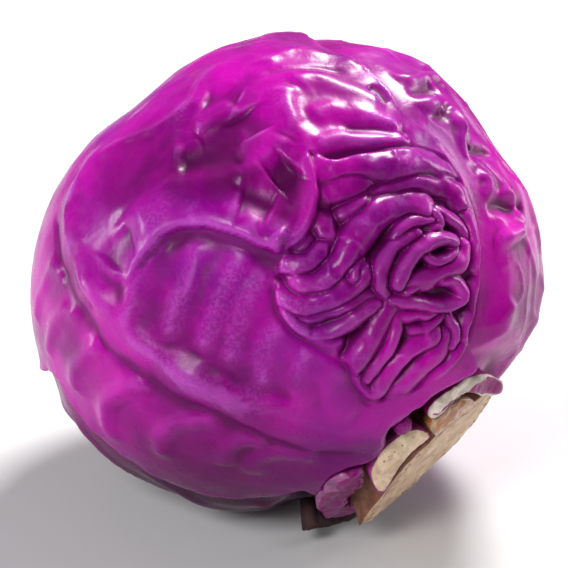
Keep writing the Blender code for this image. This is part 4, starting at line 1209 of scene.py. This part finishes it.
# The mesh sizes in mm: those of each leaf's outer face, of all inner faces, and of the cut pieces.
FRONT_SIZES_MM = (0.45, 0.65, 0.95, 2.0)
RIGHT_SIZES_MM = (0.8, 1.9, 3.2)
UNDER_SIZES_MM = (1.6, 3.2)
BACK_SIZES_MM = (1.7, 3.2)
INNER_SIZE_MM = 6.0
BLOCK_SIZES_MM = (0.5, 2.0)
STEM_SIZES_MM = (0.7, 3.0)
LEAF_ROUND_MM = 0.35
LEAF_RAGGED_MM = 0.35
HEART_POINTS = 6000
# The ring of vessel ends: how far in from the cut's edge, and how wide.
VESSEL_RING = 2.6 * MM
VESSEL_RING_WIDTH = 1.5 * MM
# Over what height a crest, and over what width a rim, reaches its full colour.
CREST_HEIGHT = 0.30 * MM
FOLD_HEIGHT = 0.9 * MM
RIM_WIDTH = 0.9 * MM


def dress_leaf(leaf, border_mm, outer_size, sizes_mm, ribs, surface):
    """A finer leaf over the solid, with what its material needs to know at each point."""
    sizes = [size * MM for size in (*sizes_mm, INNER_SIZE_MM)]
    inner_size = even(INNER_SIZE_MM)
    points, faces, n, outer, inner = fine_piece(
        leaf, border_mm, outer_size, inner_size, sizes, LEAF_ROUND_MM, LEAF_RAGGED_MM, CURL
    )
    if leaf is FRONT_LEAF:
        over = np.linalg.norm(points[:outer] - HEAD_MIDDLE, axis=1) - envelope(n[:outer])
        share = smoothstep(CRUMPLE.depth_in(n[:outer]) / (4 * MM) + 0.3)
        points[:outer] += LEAN * (share * (over - LEAN_FROM))[:, None] * LEAN_WAY
    made = link("dressed_" + leaf.name, points, faces, "root", surface, [leaf.name])
    rib = np.zeros(len(n))
    rib[:outer] = plain_share(ribs, n[:outer])
    edges = np.empty(2 * len(made.data.edges), dtype=np.int32)
    made.data.edges.foreach_get("vertices", edges)
    edges = edges.reshape(-1, 2)
    height = np.linalg.norm(points - HEAD_MIDDLE, axis=1) - envelope(n)
    height[outer:] = -leaf.outer_depth(n[outer:])
    close = smoothed(height, edges, CLOSE_ROUNDS)
    wide = smoothed(close, edges, WIDE_ROUNDS)
    crest = np.clip((height - close) / CREST_HEIGHT, -1, 1)
    fold = np.clip((close - wide) / FOLD_HEIGHT, -1, 1)
    crest[outer:], fold[outer:] = 0, -1
    rim = np.exp(-np.maximum(leaf.margin.depth_in(n), 0) / RIM_WIDTH)
    rim[outer : outer + inner] = 0.6
    for key, values in zip(SURFACE_KEYS, (rib, crest, fold, rim, bloom_and_highlight_share(leaf, n), painted_shade(n))):
        put_attribute(made, key, values)


def fine_front(q):
    """How fine the front leaf's mesh is at each flat point: finest in the crumple."""
    finest, upper_size, smooth_size, far_size = FRONT_SIZES_MM
    n = FRONT_MARGIN.chart.round(q)
    crumpled = CRUMPLE.depth_in(n) > -2.5 * MM
    found = np.where(crumpled, finest * MM, smooth_size * MM)
    upper = (n @ UP > 0.02) & (n @ RIGHT > -0.78) & ~crumpled
    found = np.where(upper, upper_size * MM, found)
    return np.where(n @ BACK < 0.12, far_size * MM, found)


def hidden_by(margins, n):
    """Where a leaf lies well under one of the leaves with these margins."""
    return np.maximum.reduce([margin.depth_in(n) for margin in margins]) > 2 * MM


def fine_right(q):
    near_size, far_size, hidden_size = RIGHT_SIZES_MM
    n = RIGHT_MARGIN.chart.round(q)
    found = np.where(n @ BACK > -0.05, near_size * MM, far_size * MM)
    return np.where(hidden_by([FRONT_MARGIN], n), hidden_size * MM, found)


def fine_under(q):
    shown_size, hidden_size = UNDER_SIZES_MM
    n = UNDER_MARGIN.chart.round(q)
    return np.where(hidden_by([FRONT_MARGIN], n), hidden_size * MM, shown_size * MM)


def fine_back(q):
    shown_size, hidden_size = BACK_SIZES_MM
    n = BACK_MARGIN.chart.round(q)
    hidden = hidden_by([FRONT_MARGIN, RIGHT_MARGIN, UNDER_MARGIN], n)
    return np.where(hidden, hidden_size * MM, shown_size * MM)


BUD_RADIUS = 2.6 * MM
BUD_DOME = 1.4 * MM
BUD_SUNK = 1.0 * MM


def bud_dome(n):
    """How far the bud's round top stands over its flat cut."""
    from_edge = np.minimum(BUD.margin.depth_in(n) / BUD_RADIUS, 1)
    return BUD_DOME * np.sqrt(np.clip(1 - (1 - from_edge) ** 2, 0, 1)) - BUD_SUNK


# Brown ends of the vessels in the pale cut face, as seen: pixel and radius in mm.
PALE_SPOTS = (
    (383, 459, 0.42), (388, 455, 0.28), (394, 451, 0.36), (402, 445, 0.38), (413, 437, 0.22),
    (423, 430, 0.40), (428, 424, 0.25), (433, 419, 0.30), (376, 464, 0.22), (407, 449, 0.18),
)


def spotted(n, spots):
    """1 at the spots and 0 away from them."""
    found = np.zeros(len(n))
    for px, py, radius in spots:
        away = distance_over(n, seen(px, py))
        found = np.maximum(found, np.exp(-((away / (radius * MM)) ** 2)))
    return found


# How many degrees off the stem's axis the torn rims begin.
TORN_RIM_FROM, STUB_RIM_FROM = 23.9, 29.4


def torn_rim(n):
    """0 on the white torn rim of the leaf base, and 1 on its purple face."""
    p = n * MEAN_RADIUS
    wander = 1.6 * noise(p, 5, 87) + 0.8 * noise(p, 1.6, 88)
    return 1 - smoothstep(degrees_off_stem(n) + wander - TORN_RIM_FROM)


def stub_rim(n):
    """0 on the whitish tear along the stub's upper edge, and 1 on its purple face."""
    p = n * MEAN_RADIUS
    turn = np.degrees(np.arctan2(n @ STEM_LEFT, n @ STEM_NEAR))
    wander = 1.4 * noise(p, 4, 97) + 0.8 * noise(p, 1.5, 98)
    upper = smoothstep((70 - turn) / 12)
    return 1 - smoothstep(degrees_off_stem(n) + wander - STUB_RIM_FROM) * upper


def roughened(piece, rough_outer, border_mm, sizes_mm, round_mm, ragged_mm):
    """The piece's fine mesh, with this outer face in place of its smooth one."""
    fine, coarse = sizes_mm
    sizes = [fine * MM, coarse * MM]
    smooth_outer, piece.outer = piece.outer, rough_outer
    points, faces, n, outer, _ = fine_piece(
        piece, border_mm, even(fine), even(coarse), sizes, round_mm, ragged_mm
    )
    piece.outer = smooth_outer
    return points, faces, n, outer


def dress_block(
    block, surface, rough_mm=0.25, ragged_mm=0.3, wall=0.0, extra=None, spots=(),
    rim=None
):
    """A cut leaf base with an uneven face. The wall is how far its sides look like its cut."""
    smooth_outer = block.outer

    def rough_outer(n):
        p = n * MEAN_RADIUS
        found = smooth_outer(n) - rough_mm * MM * (noise(p, 2.6, 61) + 0.5 * noise(p, 1.1, 62))
        if extra is not None:
            found = found - extra(n)
        return np.minimum(found, block.inner(n) - 0.5 * MM)

    points, faces, n, outer = roughened(block, rough_outer, 0.55, BLOCK_SIZES_MM, 0.15, ragged_mm)
    made = link("dressed_" + block.name, points, faces, "root", surface, [block.name])
    cut = np.full(len(n), wall)
    cut[:outer] = smoothstep(block.margin.depth_in(n[:outer]) / (0.6 * MM))
    if rim is not None:
        cut[:outer] *= rim(n[:outer])
    put_attribute(made, "cut", cut)
    put_attribute(made, "vessels", spotted(n, spots))
    return made


def dress_stem(surface):
    """The stump, with a ring of vessel ends in its uneven cut."""
    smooth_outer = STEM.outer

    def rough_outer(n):
        p = n * MEAN_RADIUS
        return smooth_outer(n) - waves(p, (0.30, 5, 71), (0.16, 1.8, 72))

    points, faces, n, outer = roughened(STEM, rough_outer, 0.7, STEM_SIZES_MM, 0.2, 0.4)
    made = link("dressed_stem", points, faces, "root", surface, ["stem"])
    depth_in = STEM.margin.depth_in(n)
    cut = np.zeros(len(n))
    cut[:outer] = smoothstep(depth_in[:outer] / (1.0 * MM))
    ring = np.exp(-(((depth_in - VESSEL_RING) / VESSEL_RING_WIDTH) ** 2))
    vessels = ring * smoothstep(noise(n * MEAN_RADIUS, 0.9, 73) * 2.4)
    put_attribute(made, "cut", cut)
    put_attribute(made, "vessels", vessels)


def plain_attributes(made, wax=0.0):
    """Even values for a piece with a leaf's material and no relief of its own."""
    for key in SURFACE_KEYS:
        value = wax if key == "wax" else 0.0
        put_attribute(made, key, np.full(len(made.data.vertices), value))


def dress_heart(surface):
    """The heart, from evenly spread directions."""
    k = np.arange(HEART_POINTS) + 0.5
    z = 1 - 2 * k / HEART_POINTS
    turn = k * math.pi * (1 + math.sqrt(5))
    across = np.sqrt(1 - z * z)
    n = np.column_stack([across * np.cos(turn), across * np.sin(turn), z])
    work = bmesh.new()
    for p in n:
        work.verts.new(p)
    bmesh.ops.convex_hull(work, input=work.verts)
    bmesh.ops.recalc_face_normals(work, faces=work.faces)
    work.verts.index_update()
    n = np.array([v.co[:] for v in work.verts])
    faces = [[v.index for v in face.verts] for face in work.faces]
    work.free()
    points = at(n, heart_depth(n))
    made = link("dressed_heart", points, faces, "root", surface, ["inner_head"])
    plain_attributes(made)


FLOOR_HALF = 3.0
WORLD_LIGHT = 0.10
SENSOR_MM = 36.0
# The lights: name, place, size, power and colour. All point at the head's middle.
LIGHTS = (
    ("key", (0.28, 0.50, 0.74), (0.24, 0.20), 12.5, (1.0, 0.98, 0.97)),
    ("left_window", (-0.76, 0.02, 0.24), (0.10, 0.4), 3.0, (0.97, 0.98, 1.0)),
    ("right_window", (0.66, 0.34, 0.30), (0.16, 0.4), 2.4, (1, 1, 1)),
    ("front_fill", (-0.34, -0.68, 0.60), (0.34, 0.28), 5.0, (1, 1, 1)),
)


def area_light(name, place, size, power, colour):
    lamp = bpy.data.lights.new(name, "AREA")
    lamp.shape, lamp.size, lamp.size_y = "RECTANGLE", size[0], size[1]
    lamp.energy, lamp.color = power, colour
    made = bpy.data.objects.new(name, lamp)
    bpy.context.collection.objects.link(made)
    made.location = place
    made.rotation_euler = Vector(HEAD_MIDDLE - place).to_track_quat("-Z", "Y").to_euler()


def set_stage():
    """The pale floor, the soft lights and the camera."""
    floor = bpy.data.meshes.new("floor")
    signs = ((-1, -1), (1, -1), (1, 1), (-1, 1))
    corners = [(x * FLOOR_HALF, y * FLOOR_HALF, 0) for x, y in signs]
    floor.from_pydata(corners, [], [(0, 1, 2, 3)])
    floor.materials.append(floor_material())
    made = bpy.data.objects.new("floor", floor)
    bpy.context.collection.objects.link(made)
    world = bpy.data.worlds.new("studio")
    world.use_nodes = True
    background = world.node_tree.nodes["Background"]
    background.inputs["Color"].default_value = (1, 1, 1, 1)
    background.inputs["Strength"].default_value = WORLD_LIGHT
    bpy.context.scene.world = world
    for row in LIGHTS:
        area_light(*row)
    lens = bpy.data.cameras.new("camera")
    lens.sensor_width = SENSOR_MM
    lens.sensor_fit = "HORIZONTAL"
    lens.lens = PX_PER_M * VIEW_DISTANCE / SHEET_PX * SENSOR_MM
    lens.clip_start, lens.clip_end = 0.01, 20
    camera = bpy.data.objects.new("camera", lens)
    bpy.context.collection.objects.link(camera)
    camera.location = HEAD_MIDDLE + EYE
    camera.rotation_euler = Vector(-BACK).to_track_quat("-Z", "Y").to_euler()
    bpy.context.scene.camera = camera


# The leaves' materials: name, deep and clear colour, the pale coat's colour (also used for painted
# highlight), and its share.
LEAF_COLOURS = (
    ("leaf_blade", (0.26, 0.0003, 0.20), (0.52, 0.0006, 0.37), (0.62, 0.12, 0.66), 0.50),
    ("leaf_outer", (0.30, 0.0003, 0.21), (0.64, 0.0006, 0.44), (0.62, 0.10, 0.58), 0.34),
    # Darker copy for the under leaf and the heart, which lie low and within: painted shade.
    ("leaf_painted_shade", (0.10, 0.0003, 0.07), (0.24, 0.0004, 0.16), (0.36, 0.06, 0.34), 0.30),
    ("leaf_back", (0.22, 0.0003, 0.16), (0.46, 0.0005, 0.32), (0.50, 0.09, 0.48), 0.34),
    ("bud_skin", (0.16, 0.001, 0.10), (0.30, 0.004, 0.20), (0.46, 0.16, 0.36), 0.6),
)
# The cuts' materials: name, face, spots, skin, roughness, wet coat, and the grain's scale.
CUT_COLOURS = (
    ("stem_cut_face", (0.80, 0.58, 0.40), (0.24, 0.11, 0.05), (0.30, 0.12, 0.07), 0.6, 0.0, 420),
    ("pale_cut_face", (0.98, 0.74, 0.52), (0.26, 0.11, 0.04), (0.42, 0.03, 0.24), 0.45, 0.08, 420),
    ("brown_cut_face", (0.50, 0.20, 0.07), (0.70, 0.42, 0.18), (0.62, 0.40, 0.24), 0.26, 0.6, 300),
    ("torn_face", (0.34, 0.001, 0.20), (0.10, 0.0005, 0.05), (0.90, 0.76, 0.66), 0.42, 0.1, 420),
    ("stub_face", (0.30, 0.001, 0.20), (0.12, 0.001, 0.07), (0.42, 0.12, 0.32), 0.40, 0.1, 420),
)


def main():
    set_stage()
    bpy.context.scene.view_settings.view_transform = "Standard"
    blade, outer, dark, back, bud = (leaf_material(*row) for row in LEAF_COLOURS)
    stem, pale, brown, torn, stub = (cut_material(*row) for row in CUT_COLOURS)
    ribs = MIDRIB[:3] + SIDE_VEINS
    dress_leaf(FRONT_LEAF, 1.0, fine_front, FRONT_SIZES_MM, ribs, blade)
    dress_leaf(RIGHT_LEAF, 1.2, fine_right, RIGHT_SIZES_MM, RIGHT_VEINS, outer)
    dress_leaf(UNDER_LEAF, 1.4, fine_under, UNDER_SIZES_MM, UNDER_VEINS, dark)
    dress_leaf(BACK_LEAF, 1.4, fine_back, BACK_SIZES_MM, BACK_VEINS, back)
    dress_heart(dark)
    dress_stem(stem)
    dress_block(PALE_BASE, pale, spots=PALE_SPOTS)
    dress_block(BROWN_BASE, brown, rough_mm=0.4, wall=1.0)
    dress_block(TORN_BASE, torn, rough_mm=0.35, rim=torn_rim, ragged_mm=0.7, wall=1.0)
    dress_block(STUB, stub, rough_mm=0.4, rim=stub_rim, ragged_mm=0.8, wall=1.0)
    made = dress_block(BUD, bud, rough_mm=0.12, extra=bud_dome)
    plain_attributes(made, wax=0.4)
    dry = dry_material("dry_leaf", (0.012, 0.003, 0.008), (0.06, 0.016, 0.018))
    dress_block(SCRAP, dry, rough_mm=0.5, ragged_mm=0.9)


main()
